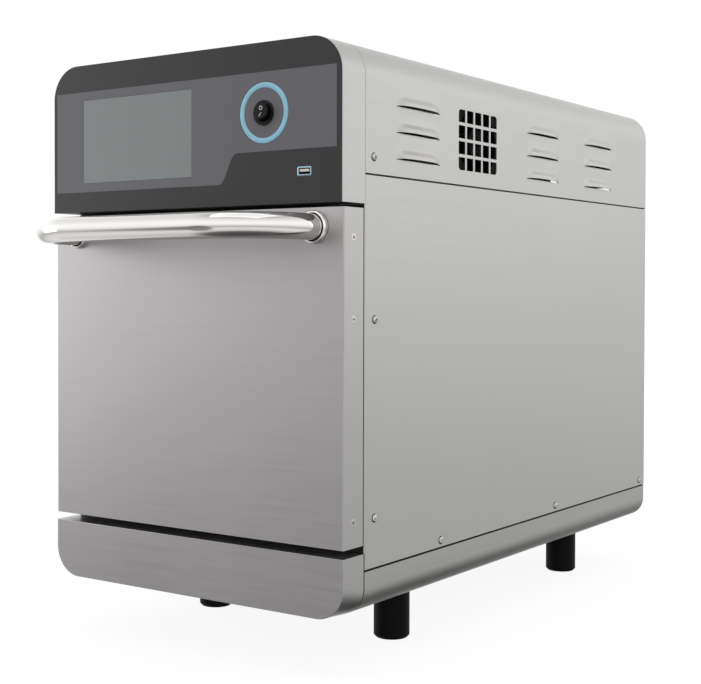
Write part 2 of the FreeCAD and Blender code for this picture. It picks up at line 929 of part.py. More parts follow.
def make_switch():
    centre = {"x": "switch_x", "z": "switch_z"}
    bezel = rod("y", "switch_bezel", ("face_y - switch_proud", "face_y"), **centre)
    barrel = rod("y", "switch_barrel", ("face_y - switch_proud", "face_y + switch_depth"), **centre)
    bore = rod("y", "switch_bore", ("face_y - switch_proud - 1", "face_y + switch_depth / 2"), **centre)
    pivots = rod(
        "x",
        "rocker_pin + 2 * running",
        about("switch_x", "switch_bore + 2"),
        y="rocker_y",
        z="switch_z",
    )
    blades = [
        block(
            about("switch_x", "switch_blade"),
            ("face_y + switch_depth - 1", "face_y + switch_depth + switch_blade_length"),
            about(f"switch_z + {side} * switch_barrel / 4", "blade_sheet"),
        )
        for side in (-1, 1)
    ]
    piece("power_switch_housing", cut(join(bezel, barrel, *blades), bore, pivots))
    # The rocker is drawn level about its own pivot and then tilted to its resting side
    cap_y = ("-rocker_reach - rocker_rim", "0")
    cap = rod("y", "switch_bore - 2 * rocker_clearance", cap_y, x="0", z="0")
    dish = rod(
        "x",
        "2 * rocker_hollow",
        across("2 * switch_bore"),
        y="-rocker_reach - rocker_hollow",
        z="0",
    )
    stem = rod("y", "switch_bore - 2 * gap", ("0", "switch_depth / 4"), x="0", z="0")
    swept = doc.addObject("Part::Sphere", "Swept")
    bind(swept, {"Radius": "switch_bore / 2 - gap"})
    pins = rod("x", "rocker_pin", across("switch_bore + 1"), y="0", z="0")
    rocker = join(cut(cap, dish), common(stem, swept), pins)
    rocker.Placement.Rotation = FreeCAD.Rotation(FreeCAD.Vector(1, 0, 0), -size("rocker_tilt"))
    place(rocker, x="switch_x", y="rocker_y", z="switch_z")
    piece("power_switch_rocker", rocker)


def make_usb_socket():
    shell_y = ("face_y", "face_y + usb_depth")
    shell = block(
        about("usb_x", "usb_width + 2 * usb_wall"), shell_y, about("usb_z", "usb_height + 2 * usb_wall")
    )
    hollow = block(
        about("usb_x", "usb_width"),
        ("face_y - 1", "face_y + usb_depth - usb_wall"),
        about("usb_z", "usb_height"),
    )
    tongue_top = "usb_z + usb_height / 2 - usb_tongue_drop"
    tongue = block(
        about("usb_x", "usb_width - 2 * usb_tongue_inset"),
        ("face_y + usb_recess", "face_y + usb_depth - usb_wall / 2"),
        (f"{tongue_top} - usb_tongue", tongue_top),
    )
    piece("usb_socket", join(cut(shell, hollow), tongue))


LEGS = {
    "leg_front_left": ("leg_inset - half", "front + leg_front"),
    "leg_front_right": ("half - leg_inset", "front + leg_front"),
    "leg_rear_left": ("leg_inset - half", "front + leg_rear"),
    "leg_rear_right": ("half - leg_inset", "front + leg_rear"),
}


def make_legs():
    nuts = []
    for name, (x, y) in LEGS.items():
        centre = {"x": x, "y": y}
        foot = cone("z", "leg_diameter - 2 * leg_chamfer", "leg_diameter", ("0", "leg_chamfer"), **centre)
        post = rod("z", "leg_diameter", ("leg_chamfer", "leg_height"), **centre)
        stud = rod("z", "stud_diameter", ("leg_height - 1", "leg_height + stud_length"), **centre)
        piece(name, join(foot, post, stud))
        nut_z = ("tray_floor", "tray_floor + nut_height")
        bore = rod("z", "stud_diameter", past(nut_z), **centre)
        nuts.append(cut(hexagon("z", "nut_across", nut_z, **centre), bore))
    piece("leg_nuts", group(*nuts))


def hinge_notch(clearance):
    """The room that a hinge arm needs in the right corner of the door."""
    return block(
        about("hinge_x", f"hinge_arm + 2 * {clearance}"),
        (f"hinge_y - hinge_nose - {clearance}", "plug_y"),
        ("bezel_top", f"hinge_z + hinge_nose + {clearance}"),
    )


def hinge_pocket():
    """The corner of the inner pan left open round a hinge block."""
    return block(
        about("hinge_x", "hinge_block + 2 * gap"),
        ("front", "plug_y"),
        ("bezel_top", "hinge_z + hinge_block - gap"),
    )


def door_side_screws():
    """Countersunk screws in the right edge of the door."""
    screws = []
    top = "door_top - door_screw_drop"
    for up in ("door_low + door_screw_rise", f"{top} - door_screw_step", top):
        centre = {"y": "front + door_screw_setback", "z": up}
        head = cone("x", "screw_shank", "screw_head", ("half - skin - gap - skin", "half"), **centre)
        shank = rod("x", "screw_shank", ("half - screw_length - skin", "half - 2 * skin"), **centre)
        screws.append(join(head, shank))
    return screws


def make_door():
    door_z = ("door_low", "door_top")
    outside = folded(("-half", "half"), ("front", "door_back"), door_z, "door_fold")
    inside = folded(
        ("-inner_half", "inner_half"),
        ("front + skin", "door_back + 1"),
        ("door_low + skin", "door_top - skin"),
        "door_fold - skin",
    )
    bolt_hole = rod(
        "y", "handle_bolt + 2 * gap", ("front - 1", "front + skin + 1"), x="handle_x", z="handle_z"
    )
    tools = both_sides([hinge_notch("gap"), bolt_hole, *door_side_screws()])
    piece("door_outer_skin", cut(outside, inside, *tools))

    edge = "inner_half - gap"
    pan = cut(
        block(
            (f"-({edge})", edge),
            ("front + pan_front", "pan_y"),
            ("door_low + skin + gap", "door_top - skin - gap"),
        ),
        block(
            (f"skin - ({edge})", f"{edge} - skin"),
            ("front + pan_front - 1", "pan_y - skin"),
            ("door_low + 2 * skin + gap", "door_top - 2 * skin - gap"),
        ),
    )
    plug = block(("-plug_half", "plug_half"), ("pan_y - skin", "plug_y"), ("plug_low", "plug_top"))
    hollow = block(
        ("skin - plug_half", "plug_half - skin"),
        ("pan_y - 2 * skin", "plug_y - skin"),
        ("plug_low + skin", "plug_top - skin"),
    )
    tools = both_sides([hinge_pocket(), *door_side_screws()])
    piece("door_inner_pan", cut(join(pan, plug), hollow, *tools))

    pad = block(
        ("skin + gap - plug_half", "plug_half - skin - gap"),
        ("front + hinge_setback + hinge_block / 2", "plug_y - skin - gap"),
        ("plug_low + skin + gap", "plug_top - skin - gap"),
    )
    piece("door_insulation_pad", pad)

    seal_y = ("pan_y", "frame_y - gap")
    seal = cut(
        block(
            across("2 * (plug_half + seal_width)"),
            seal_y,
            ("plug_low - seal_width", "plug_top + seal_width"),
        ),
        block(across("2 * plug_half + 2 * gap"), past(seal_y), ("plug_low - gap", "plug_top + gap")),
    )
    piece("door_seal", seal)
    piece("door_side_screws", group(*both_sides(door_side_screws())))


def make_hinges():
    whole = block(
        about("hinge_x", "hinge_block"),
        ("front + skin", "front + skin + block_depth"),
        ("door_low + skin", "hinge_z + hinge_block - 2 * gap"),
    )
    span = about("hinge_x", "hinge_block")
    pin = {"y": "hinge_y", "z": "hinge_z"}
    door_block = cut(whole, hinge_notch("gap"), rod("x", "hinge_pin", past(span), **pin))
    piece("door_hinge_blocks", pair(door_block))
    piece("hinge_pins", pair(rod("x", "hinge_pin", span, **pin)))
    arm_span = about("hinge_x", "hinge_arm")
    nose = rod("x", "2 * hinge_nose", arm_span, **pin)
    arm = block(arm_span, ("hinge_y", "case_y + 1"), about("hinge_z", "2 * hinge_nose"))
    foot = block(
        ("liner_half + 2", "inner_half - frame_sheet - gap"),
        ("case_y", "case_y + hinge_foot"),
        ("bezel_top + gap", "cavity_low"),
    )
    bore = rod("x", "hinge_pin + 2 * running", past(arm_span), **pin)
    piece("hinge_brackets", pair(cut(join(nose, arm, foot), bore)))


def make_latches():
    hook_end = "plug_y - latch_back"
    hook_x = about("latch_x", "latch_hook")
    shank_z = about("latch_z", "latch_shank")
    plate = block(
        about("latch_x", "latch_plate"),
        ("pan_y", "frame_y - 2 * gap"),
        about("latch_z", "latch_plate_height"),
    )
    shank = block(hook_x, ("pan_y", hook_end), shank_z)
    tooth = block(
        hook_x,
        (f"{hook_end} - latch_tooth", hook_end),
        (f"{shank_z[0]} - latch_tooth_drop", shank_z[1]),
    )
    piece("door_latch_hooks", pair(join(plate, shank, tooth)))
    body_y = ("case_y", "case_y + interlock_depth")
    body_z = ("latch_z + latch_slot / 2 + gap", "head_z - 2 * gap")
    body = block(about("latch_x", "interlock_width"), body_y, body_z)
    blades = [
        block(
            about("latch_x", "interlock_blade"),
            (body_y[0], f"{body_y[1]} + interlock_blade"),
            (f"{up} - {inward} * blade_sheet - gap", f"{up} - {inward} * blade_sheet - gap + blade_sheet"),
        )
        for up, inward in ((body_z[1], 2), (body_z[0], -2))
    ]
    piece("interlock_switches", pair(join(body, *blades)))


def handle_path(sketch):
    """Straight lead, bend, straight bar, bend and straight lead, from the door outwards."""
    lead, bend, bar = 10, 60, 200
    reach = lead + bend
    far = bar + 2 * bend
    half_turn = math.pi / 2
    sketch.addGeometry(line((0, 0), (0, lead)), False)
    sketch.addGeometry(arc((bend, lead), bend, half_turn, 2 * half_turn), False)
    sketch.addGeometry(line((bend, reach), (bend + bar, reach)), False)
    sketch.addGeometry(arc((bend + bar, lead), bend, 0, half_turn), False)
    sketch.addGeometry(line((far, lead), (far, 0)), False)
    for kind, first, second in (
        ("Coincident", (0, 1), (-1, 1)),
        ("Tangent", (0, 2), (1, 2)),
        ("Tangent", (1, 1), (2, 1)),
        ("Tangent", (2, 2), (3, 2)),
        ("Tangent", (3, 1), (4, 1)),
    ):
        sketch.addConstraint(Sketcher.Constraint(kind, *first, *second))
    for kind, edge in (("Vertical", 0), ("Horizontal", 2), ("Vertical", 4)):
        sketch.addConstraint(Sketcher.Constraint(kind, edge))
    sketch.addConstraint(Sketcher.Constraint("PointOnObject", 4, 2, -1))
    sketch.addConstraint(Sketcher.Constraint("Equal", 1, 3))
    dimension(sketch, Sketcher.Constraint("Radius", 1, bend), "handle_bend")
    dimension(sketch, Sketcher.Constraint("DistanceY", 0, 1, 2, 1, reach), "handle_standoff")
    dimension(sketch, Sketcher.Constraint("DistanceX", 0, 1, 4, 2, far), "2 * handle_x")


def make_handle():
    body = doc.addObject("PartDesign::Body", "Handle")
    path = new_sketch(body, "XY_Plane")
    handle_path(path)
    profile = new_sketch(body, "XZ_Plane")
    for radius, text in ((12, "handle_tube / 2"), (10, "handle_tube / 2 - handle_wall")):
        circle = profile.addGeometry(Part.Circle(FreeCAD.Vector(0, 0, 0), UP, radius), False)
        profile.addConstraint(Sketcher.Constraint("Coincident", circle, 3, -1, 1))
        dimension(profile, Sketcher.Constraint("Radius", circle, radius), text)
    doc.recompute()
    pipe = body.newObject("PartDesign::AdditivePipe", "Tube")
    pipe.Profile = profile
    pipe.Spine = (path, [f"Edge{number}" for number in range(1, 6)])
    body.Placement = FreeCAD.Placement(FreeCAD.Vector(), FreeCAD.Rotation(UP, 180))
    place(body, x="handle_x", y="front", z="handle_z")
    piece("door_handle", body)

    centre = {"x": "handle_x", "z": "handle_z"}
    collar_y = ("front - collar_length", "front")
    collar = cut(
        rod("y", "collar_diameter", collar_y, **centre),
        rod("y", "handle_tube", past(collar_y), **centre),
    )
    piece("handle_collars", pair(collar))
    plug_end = "front - handle_standoff + handle_bend"
    plug_span = (plug_end, "front")
    plug = cut(
        rod("y", "handle_tube - 2 * handle_wall", plug_span, **centre),
        rod("y", "handle_bolt", past(plug_span), **centre),
    )
    piece("handle_end_plugs", pair(plug))
    shank = rod("y", "handle_bolt", (f"{plug_end} + 1", "front + skin + bolt_head_height / 2"), **centre)
    head_y = ("front + skin", "front + skin + bolt_head_height")
    head = hexagon("y", "bolt_head", head_y, **centre)
    piece("handle_bolts", pair(join(shank, head)))


def jet_holes(span):
    """Rows of air holes through a jet plate."""
    step_x = "2 * (cavity_half - rack_shelf) / " + str(JET_COLUMNS)
    step_y = "(baffle_y - jet_y) / " + str(JET_ROWS)
    return [
        rod(
            "z",
            "jet_hole",
            span,
            x=f"{column - (JET_COLUMNS - 1) / 2} * {step_x}",
            y=f"jet_y + {row + 0.5} * {step_y}",
        )
        for column in range(JET_COLUMNS)
        for row in range(JET_ROWS)
    ]


def make_cavity():
    liner_x = ("-liner_half", "liner_half")
    outside = block(liner_x, ("case_y", "liner_back"), ("liner_low", "liner_top"))
    inside = block(across("2 * cavity_half"), ("case_y - 1", "plenum_y"), ("cavity_low", "cavity_top"))
    port_y = ("front + port_front", "front + port_front + port_width")
    port = block(across("port_width"), port_y, past(("cavity_top", "liner_top")))
    shaft_hole = rod("y", "shaft_hole", past(("plenum_y", "liner_back")), x="0", z="fan_z")
    legs = heater_legs("heater_tube")
    piece("cavity_liner", cut(outside, inside, port, shaft_hole, *legs))

    side_x = ("liner_half", "liner_half + insulation")
    side = block(side_x, ("case_y", "liner_back"), ("liner_low", "cavity_top - flange"))
    bracket_room = block(
        past(side_x),
        ("case_y - 1", "case_y + hinge_foot + gap"),
        ("liner_low - 1", "cavity_low + gap"),
    )
    side = cut(side, bracket_room)
    lower = block(liner_x, ("case_y", "liner_back"), ("liner_low - insulation", "liner_low"))
    upper = block(liner_x, ("case_y", "motor_y"), ("liner_top", "liner_top + insulation"))
    channel = block(
        across("guide_width + 2 * gap"),
        ("front + guide_front - gap", "motor_y + 1"),
        past(("liner_top", "liner_top + insulation")),
    )
    back = block(liner_x, ("liner_back", "motor_y"), ("liner_low", "liner_top"))
    holes = [rod("y", "shaft_hole", past(("liner_back", "motor_y")), x="0", z="fan_z")]
    holes += heater_legs("heater_tube + 2 * gap")
    holes += motor_stays("motor_stay + 2 * gap")
    slabs = (*both_sides([side]), lower, cut(upper, channel), cut(back, *holes))
    piece("cavity_insulation", group(*slabs))


def make_jet_plates():
    jet_x = ("gap - cavity_half", "cavity_half - gap")
    jet_span = ("jet_y", "baffle_y - gap")
    lip_y = ("jet_y", "jet_y + liner_sheet")
    upper_z = ("jet_top", "jet_top + liner_sheet")
    upper = join(
        block(jet_x, jet_span, upper_z),
        block(jet_x, lip_y, ("jet_top", "cavity_top - gap")),
    )
    piece("upper_jet_plate", cut(upper, *jet_holes(past(upper_z))))
    lower_z = ("jet_low - liner_sheet", "jet_low")
    lower = join(
        block(jet_x, jet_span, lower_z),
        block(jet_x, lip_y, ("cavity_low + gap", "jet_low")),
    )
    piece("lower_jet_plate", cut(lower, *jet_holes(past(lower_z))))


def make_rack():
    wall_x = "cavity_half"
    shelf = block(
        (f"{wall_x} - rack_shelf", wall_x),
        ("jet_y", "baffle_y - rack_shelf"),
        ("shelf_z - liner_sheet", "shelf_z"),
    )
    upright = block(
        (f"{wall_x} - liner_sheet", wall_x),
        ("jet_y", "baffle_y - rack_shelf"),
        ("shelf_z - liner_sheet", "shelf_z + rack_shelf"),
    )
    piece("rack_supports", pair(join(shelf, upright)))

    side_x = "cavity_half - liner_sheet - gap - rack_frame_wire / 2"
    ends_y = ("jet_y + rack_shelf", "baffle_y - 2 * rack_shelf")
    frame = []
    for side in ("", "-"):
        frame.append(rod("y", "rack_frame_wire", ends_y, x=f"{side}({side_x})", z="rack_z"))
    for end in ends_y:
        frame.append(rod("x", "rack_frame_wire", (f"-({side_x})", side_x), y=end, z="rack_z"))
        for side in ("", "-"):
            corner = doc.addObject("Part::Sphere", "Corner")
            bind(corner, {"Radius": "rack_frame_wire / 2"})
            place(corner, x=f"{side}({side_x})", y=end, z="rack_z")
            frame.append(corner)
    wires = [
        rod(
            "y",
            "rack_wire",
            ends_y,
            x=f"{(number + 1) / (RACK_WIRES + 1) - 0.5} * 2 * ({side_x})",
            z="rack_z + rack_frame_wire / 2",
        )
        for number in range(RACK_WIRES)
    ]
    piece("wire_rack", join(*frame, *wires))


def make_baffle():
    baffle_x = ("gap - cavity_half", "cavity_half - gap")
    baffle_span = ("baffle_y", "baffle_y + liner_sheet")
    plate = block(baffle_x, baffle_span, ("jet_low", "jet_top"))
    piece("rear_baffle", cut(plate, *cell_grid(baffle_span, "inlet_web")))
    catalyst_span = (baffle_span[1], f"{baffle_span[1]} + catalyst_depth")
    core = block(across("catalyst_side"), catalyst_span, about("fan_z", "catalyst_side"))
    piece("catalyst_element", cut(core, *cell_grid(catalyst_span, "catalyst_web")))


def cell_grid(span, web):
    """Square holes in front of the fan, with a web of some width left between them."""
    pitch = f"catalyst_side / {CATALYST_CELLS}"
    places = [number - (CATALYST_CELLS - 1) / 2 for number in range(CATALYST_CELLS)]
    return [
        block(
            about(f"{column} * {pitch}", f"{pitch} - {web}"),
            past(span),
            about(f"fan_z + {row} * {pitch}", f"{pitch} - {web}"),
        )
        for column in places
        for row in places
    ]


def heater_legs(diameter):
    """The two straight ends of the ring heater, led out through the back of the cavity."""
    span = ("impeller_y + impeller_width / 2", "motor_y + flange")
    return [
        rod("y", diameter, span, x=f"{side} * heater_tube", z="fan_z + heater_ring / 2")
        for side in (-1, 1)
    ]


def make_heater():
    ring = doc.addObject("Part::Torus", "Ring")
    ring.Placement = FreeCAD.Placement(FreeCAD.Vector(), TURNS["y"])
    bind(ring, {"Radius1": "heater_ring / 2", "Radius2": "heater_tube / 2"})
    place(ring, x="0", y="impeller_y + impeller_width / 2", z="fan_z")
    piece("ring_heater", join(ring, *heater_legs("heater_tube")))


def make_impeller():
    centre = {"x": "0", "z": "fan_z"}
    width = "impeller_width"
    end_y = ("impeller_y", f"impeller_y + {width}")
    back_plate = rod("y", "impeller_diameter", (f"{end_y[1]} - skin", end_y[1]), **centre)
    front_ring = cut(
        rod("y", "impeller_diameter", (end_y[0], f"{end_y[0]} + skin"), **centre),
        rod("y", "impeller_eye", past((end_y[0], f"{end_y[0]} + skin")), **centre),
    )
    hub = rod("y", "impeller_hub", (f"{end_y[0]} + {width} / 3", end_y[1]), **centre)
    blades = []
    for number in range(IMPELLER_BLADES):
        tip = "impeller_diameter / 2 - 1"
        blade = block((f"{tip} - blade_width", tip), end_y, ("0", "skin"))
        turn = FreeCAD.Rotation(FreeCAD.Vector(0, 1, 0), 360 * number / IMPELLER_BLADES)
        blades.append(turned(blade, turn, centre))
    bore = rod("y", "shaft_diameter", past(end_y), **centre)
    piece("convection_impeller", cut(join(back_plate, front_ring, hub, *blades), bore))
    piece("motor_shaft", rod("y", "shaft_diameter", (f"{end_y[0]} + {width} / 4", "shaft_end"), **centre))


def turned(item, turn, centre):
    """An item drawn about the origin, turned there and carried to a centre."""
    carrier = doc.addObject("Part::Compound", "Turned")
    carrier.Links = [item]
    carrier.Placement = FreeCAD.Placement(FreeCAD.Vector(), turn)
    place(carrier, **centre)
    return carrier


def motor_stays(diameter):
    """Four stays between the back of the cavity and the motor's plate."""
    return [
        rod(
            "y",
            diameter,
            ("liner_back", "motor_y + motor_plate_sheet"),
            x=f"{side} * (motor_plate / 2 - motor_stay)",
            z=f"fan_z + {up} * (motor_plate / 2 - motor_stay)",
        )
        for side in (-1, 1)
        for up in (-1, 1)
    ]


def make_motor():
    centre = {"x": "0", "z": "fan_z"}
    plate_y = ("motor_y", "motor_y + motor_plate_sheet")
    plate = block(across("motor_plate"), plate_y, about("fan_z", "motor_plate"))
    can_end = f"{plate_y[1]} + motor_length"
    can = rod("y", "motor_diameter", ("motor_y", can_end), **centre)
    cap = rod("y", "motor_cap", ("motor_y", f"{can_end} + motor_cap_depth"), **centre)
    bore = rod("y", "shaft_diameter + 2 * running", ("motor_y - 1", "shaft_end + gap"), **centre)
    piece("convection_motor", cut(join(plate, can, cap, *motor_stays("motor_stay")), bore))


def make_waveguide():
    guide_y = ("front + guide_front", "front + guide_rear")
    outside = block(across("guide_width"), guide_y, ("liner_top", "guide_z"))
    inside = block(
        across("guide_width - 2 * guide_sheet"),
        ("front + guide_front + guide_sheet", "front + guide_rear - guide_sheet"),
        ("liner_top + guide_sheet", "guide_z - guide_sheet"),
    )
    port_y = ("front + port_front", "front + port_front + port_width")
    port = block(across("port_width"), port_y, ("liner_top - 1", "liner_top + guide_sheet + 1"))
    aerial_hole = rod(
        "z", "aerial_hole", past(("guide_z - guide_sheet", "guide_z")), x="0", y="magnetron_y"
    )
    piece("waveguide", cut(outside, inside, port, aerial_hole))
    cover = block(
        across("port_width + 2 * cover_margin"),
        past(port_y, "cover_margin"),
        ("cavity_top - guide_sheet", "cavity_top"),
    )
    piece("waveguide_cover", cover)


def make_magnetron():
    centre = {"x": "0", "y": "magnetron_y"}
    base_top = "guide_z + magnetron_base"
    yoke_top = f"{base_top} + yoke_height"
    long_y = about("magnetron_y", "yoke_length")
    base = block(
        across("magnetron_width"), about("magnetron_y", "magnetron_length"), ("guide_z", base_top)
    )
    aerial = rod("z", "aerial_diameter", ("guide_z - guide_height / 2", base_top), **centre)
    side = block(("yoke_width / 2 - yoke_sheet", "yoke_width / 2"), long_y, ("guide_z", yoke_top))
    top = block(across("yoke_width"), long_y, (f"{yoke_top} - yoke_sheet", yoke_top))
    anode = rod("z", "anode_diameter", ("guide_z", yoke_top), **centre)
    magnets = [
        rod("z", "magnet_diameter", span, **centre)
        for span in (
            ("guide_z", f"{base_top} + magnet_height"),
            (f"{yoke_top} - yoke_sheet - magnet_height", yoke_top),
        )
    ]
    fins = []
    for number in range(MAGNETRON_FINS):
        share = number / (MAGNETRON_FINS - 1) - 0.5
        up = f"{base_top} + yoke_height / 2 + {share} * fin_stack"
        fin_y = about("magnetron_y", "fin_length")
        fins.append(block(across("yoke_width - yoke_sheet"), fin_y, about(up, "fin_sheet")))
    filter_box = block(
        across("filter_width"),
        about("magnetron_y", "filter_length"),
        (f"{yoke_top} - yoke_sheet", f"{yoke_top} + filter_height"),
    )
    piece("magnetron", join(base, aerial, *both_sides([side]), top, anode, *magnets, *fins, filter_box))


def make_transformer():
    width, depth, height = "transformer_width", "transformer_depth", "transformer_height"
    y = f"motor_y + transformer_room + coil_bulge + {depth} / 2"
    middle_z = f"tray_floor + {height} / 2"
    core = block(across(width), about(y, depth), ("tray_floor", f"tray_floor + {height}"))
    window = block(
        about(f"{width} / 4", f"{width} / 5"), past(about(y, depth)), about(middle_z, f"{height} * 0.6")
    )
    coil = block(
        across(f"{width} * 0.66"),
        about(y, f"{depth} + 2 * coil_bulge"),
        about(middle_z, f"{height} * 0.56"),
    )
    foot = block(
        across(f"{width} + 2 * transformer_lug"),
        about(y, f"{depth} * 0.7"),
        ("tray_floor", "tray_floor + guide_sheet"),
    )
    piece("high_voltage_transformer", join(cut(core, *both_sides([window])), coil, foot))


def make_capacitor():
    y = "motor_y + capacitor_room + capacitor_length / 2"
    can_z = ("tray_floor", "tray_floor + capacitor_height")
    end = "(capacitor_length - capacitor_width) / 2"
    can = join(
        block(about("capacitor_across", "capacitor_width"), about(y, f"2 * {end}"), can_z),
        *[
            rod("z", "capacitor_width", can_z, x="capacitor_across", y=f"{y} + {side} * {end}")
            for side in (-1, 1)
        ],
    )
    posts = [
        rod(
            "z",
            "terminal_post",
            (can_z[0], f"{can_z[1]} + terminal_height"),
            x="capacitor_across",
            y=f"{y} + {side} * terminal_spacing / 2",
        )
        for side in (-1, 1)
    ]
    piece("high_voltage_capacitor", join(can, *posts))


def make_cooling_fan():
    fan_x = ("cool_x", "inner_half")
    centre = {"y": "cool_y", "z": "cool_z"}
    plate = block(fan_x, about("cool_y", "fan_side"), about("cool_z", "fan_side"))
    bore = rod("x", "fan_bore", past(fan_x), **centre)
    spider_x = ("cool_x", "cool_x + fan_strut_depth")
    spider = [
        block(spider_x, about("cool_y", "fan_bore + 1"), about("cool_z", "fan_strut")),
        block(spider_x, about("cool_y", "fan_strut"), about("cool_z", "fan_bore + 1")),
        rod("x", "fan_hub", spider_x, **centre),
        rod("x", "fan_spindle", ("cool_x", f"{spider_x[1]} + fan_depth / 2"), **centre),
    ]
    piece("cooling_fan_frame", join(cut(plate, bore), *spider))

    hub_x = (f"{spider_x[1]} + 2 * gap", "inner_half - 2")
    hub = cut(
        rod("x", "fan_hub", hub_x, **centre),
        rod(
            "x",
            "fan_spindle + 2 * running",
            ("cool_x", f"{spider_x[1]} + fan_depth / 2 + gap"),
            **centre,
        ),
    )
    blades = []
    for number in range(COOLING_BLADES):
        blade = block(
            ("0", "fan_depth * 0.8"),
            ("0", "fan_blade"),
            ("fan_hub / 2 - 1", "fan_bore / 2 - 2 * fan_tip_gap"),
        )
        blade.Placement.Rotation = FreeCAD.Rotation(UP, size("fan_pitch"))
        turn = FreeCAD.Rotation(FreeCAD.Vector(1, 0, 0), 360 * number / COOLING_BLADES)
        blades.append(turned(blade, turn, {"x": f"{hub_x[0]} + 1", **centre}))
    piece("cooling_fan_rotor", join(hub, *blades))


def make_power_board():
    board_x = ("board_standoff - inner_half", "board_standoff + board_sheet - inner_half")
    board_y = ("motor_y + board_room", "motor_y + board_room + board_length")
    board_z = ("base_z + board_low", "base_z + board_low + board_height")
    board = block(board_x, board_y, board_z)
    stays = [
        rod("x", "stay_diameter", ("-inner_half", board_x[1]), y=y, z=z)
        for y in past(board_y, "-stay_inset")
        for z in past(board_z, "-stay_inset")
    ]
    relays = [
        block(
            (board_x[0], f"{board_x[1]} + relay_depth"),
            about(f"{board_y[0]} + {(number + 0.5) / RELAYS} * board_length", "relay_width"),
            about(f"{board_z[0]} + board_height * 0.3", "relay_height"),
        )
        for number in range(RELAYS)
    ]
    sink = block(
        (board_x[0], f"{board_x[1]} + sink_depth"),
        about(f"{board_y[0]} + board_length / 2", "sink_length"),
        about(f"{board_z[0]} + board_height * 0.75", "sink_height"),
    )
    piece("power_board", join(board, *stays, *relays, sink))


def make_terminal_block():
    back = "rear - skin"
    terminal_z = "gland_z + terminal_rise"
    body = block(
        about("gland_x", "terminal_length"),
        (f"{back} - terminal_depth", back),
        about(terminal_z, "terminal_width"),
    )
    wells = [
        rod(
            "y",
            "terminal_well",
            (f"{back} - terminal_depth - 1", f"{back} - terminal_depth / 2"),
            x=f"gland_x + {step} * terminal_pitch",
            z=terminal_z,
        )
        for step in (-1, 0, 1)
    ]
    piece("terminal_block", cut(body, *wells))


def make_cable_gland():
    centre = {"x": "gland_x", "z": "gland_z"}
    shoulder = "rear + gland_proud * 0.6"
    tip = "rear + gland_proud"
    inner_end = "rear - skin - gland_inside"
    thread = rod("y", "gland_thread", (inner_end, shoulder), **centre)
    nut = hexagon("y", "gland_hex", ("rear - skin - gland_nut", "rear - skin"), **centre)
    body = hexagon("y", "gland_hex", ("rear", shoulder), **centre)
    dome = cone("y", "gland_hex - 3", "gland_bore + 4", (shoulder, tip), **centre)
    bore = rod("y", "gland_bore", past((inner_end, tip)), **centre)
    piece("cable_gland", cut(join(thread, nut, body, dome), bore))


def make_screws():
    piece("casing_screws", group(*both_sides(side_screws("cover", "frame", "tray"))))
    piece("rear_screws", group(*both_sides(rear_screws("cover", "side", "tray"))))


def check(item):
    """Stop on an object that failed quietly or a shape that isn't whole."""
    shape = item.Shape
    if shape.isNull() or not shape.isValid() or not shape.Solids:
        raise RuntimeError(f"{item.Label} has no sound solid")


def main():
    make_top_cover()
    make_side_panels()
    make_base_tray()
    make_bezel()
    make_rear_panel()
    make_rails()
    make_front_frame()
    make_control_head()
    make_control_board()
    make_switch()
    make_usb_socket()
    make_legs()
    make_door()
    make_hinges()
    make_latches()
    make_handle()
    make_cavity()
    make_jet_plates()
    make_rack()
    make_baffle()
    make_heater()
    make_impeller()
    make_motor()
    make_waveguide()
    make_magnetron()
    make_transformer()
    make_capacitor()
    make_cooling_fan()
    make_power_board()
    make_terminal_block()
    make_cable_gland()
    make_screws()
    doc.recompute()
    for item in doc.Objects:
        if "Invalid" in item.State or "Error" in item.State:
            raise RuntimeError(f"{item.Label} failed: {item.State}")
    for item in pieces:
        check(item)
    os.makedirs("parts", exist_ok=True)
    for item in pieces:
        item.Shape.exportStep(f"parts/{item.Label}.step")
        print(f"{item.Label}: {len(item.Shape.Solids)} solids, {item.Shape.Volume / 1000:.1f} cm3")


main()
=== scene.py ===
import json
import math

import bmesh
import bpy
from mathutils import Matrix, Vector, noise


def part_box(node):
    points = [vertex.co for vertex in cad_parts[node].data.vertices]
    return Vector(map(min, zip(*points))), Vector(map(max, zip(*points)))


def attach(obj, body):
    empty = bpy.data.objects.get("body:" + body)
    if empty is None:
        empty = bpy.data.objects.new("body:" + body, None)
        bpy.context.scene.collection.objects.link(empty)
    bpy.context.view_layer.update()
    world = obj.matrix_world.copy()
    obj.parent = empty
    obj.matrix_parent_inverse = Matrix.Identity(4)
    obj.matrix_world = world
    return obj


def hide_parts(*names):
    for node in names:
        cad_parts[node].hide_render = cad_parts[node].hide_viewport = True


# Looks of a countertop high-speed oven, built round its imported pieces.
# Metres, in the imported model's frame: X to the right, the front faces -Y, Z is up.

MM = 0.001
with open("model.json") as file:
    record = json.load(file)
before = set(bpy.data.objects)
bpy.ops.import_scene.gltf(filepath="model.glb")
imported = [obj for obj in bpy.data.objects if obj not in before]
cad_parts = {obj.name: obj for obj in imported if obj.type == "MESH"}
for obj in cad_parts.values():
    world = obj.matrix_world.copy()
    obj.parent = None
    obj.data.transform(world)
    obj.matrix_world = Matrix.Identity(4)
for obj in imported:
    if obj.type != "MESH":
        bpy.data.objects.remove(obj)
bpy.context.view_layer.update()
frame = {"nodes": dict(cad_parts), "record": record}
NODES = frame["nodes"]
SLOT_OF = {item["node"]: item["material_slot"] for item in frame["record"]["subparts"]}
BODIES = frame["record"]["behaviour"]["bodies"]
BODY_OF = {node: body for body, nodes in BODIES.items() for node in nodes}


def placed(name, data):
    """An object for a mesh, a lamp or a camera, linked into the scene."""
    item = bpy.data.objects.new(name, data)
    bpy.context.collection.objects.link(item)
    return item


# Camera, solved from the straight edges of the casing

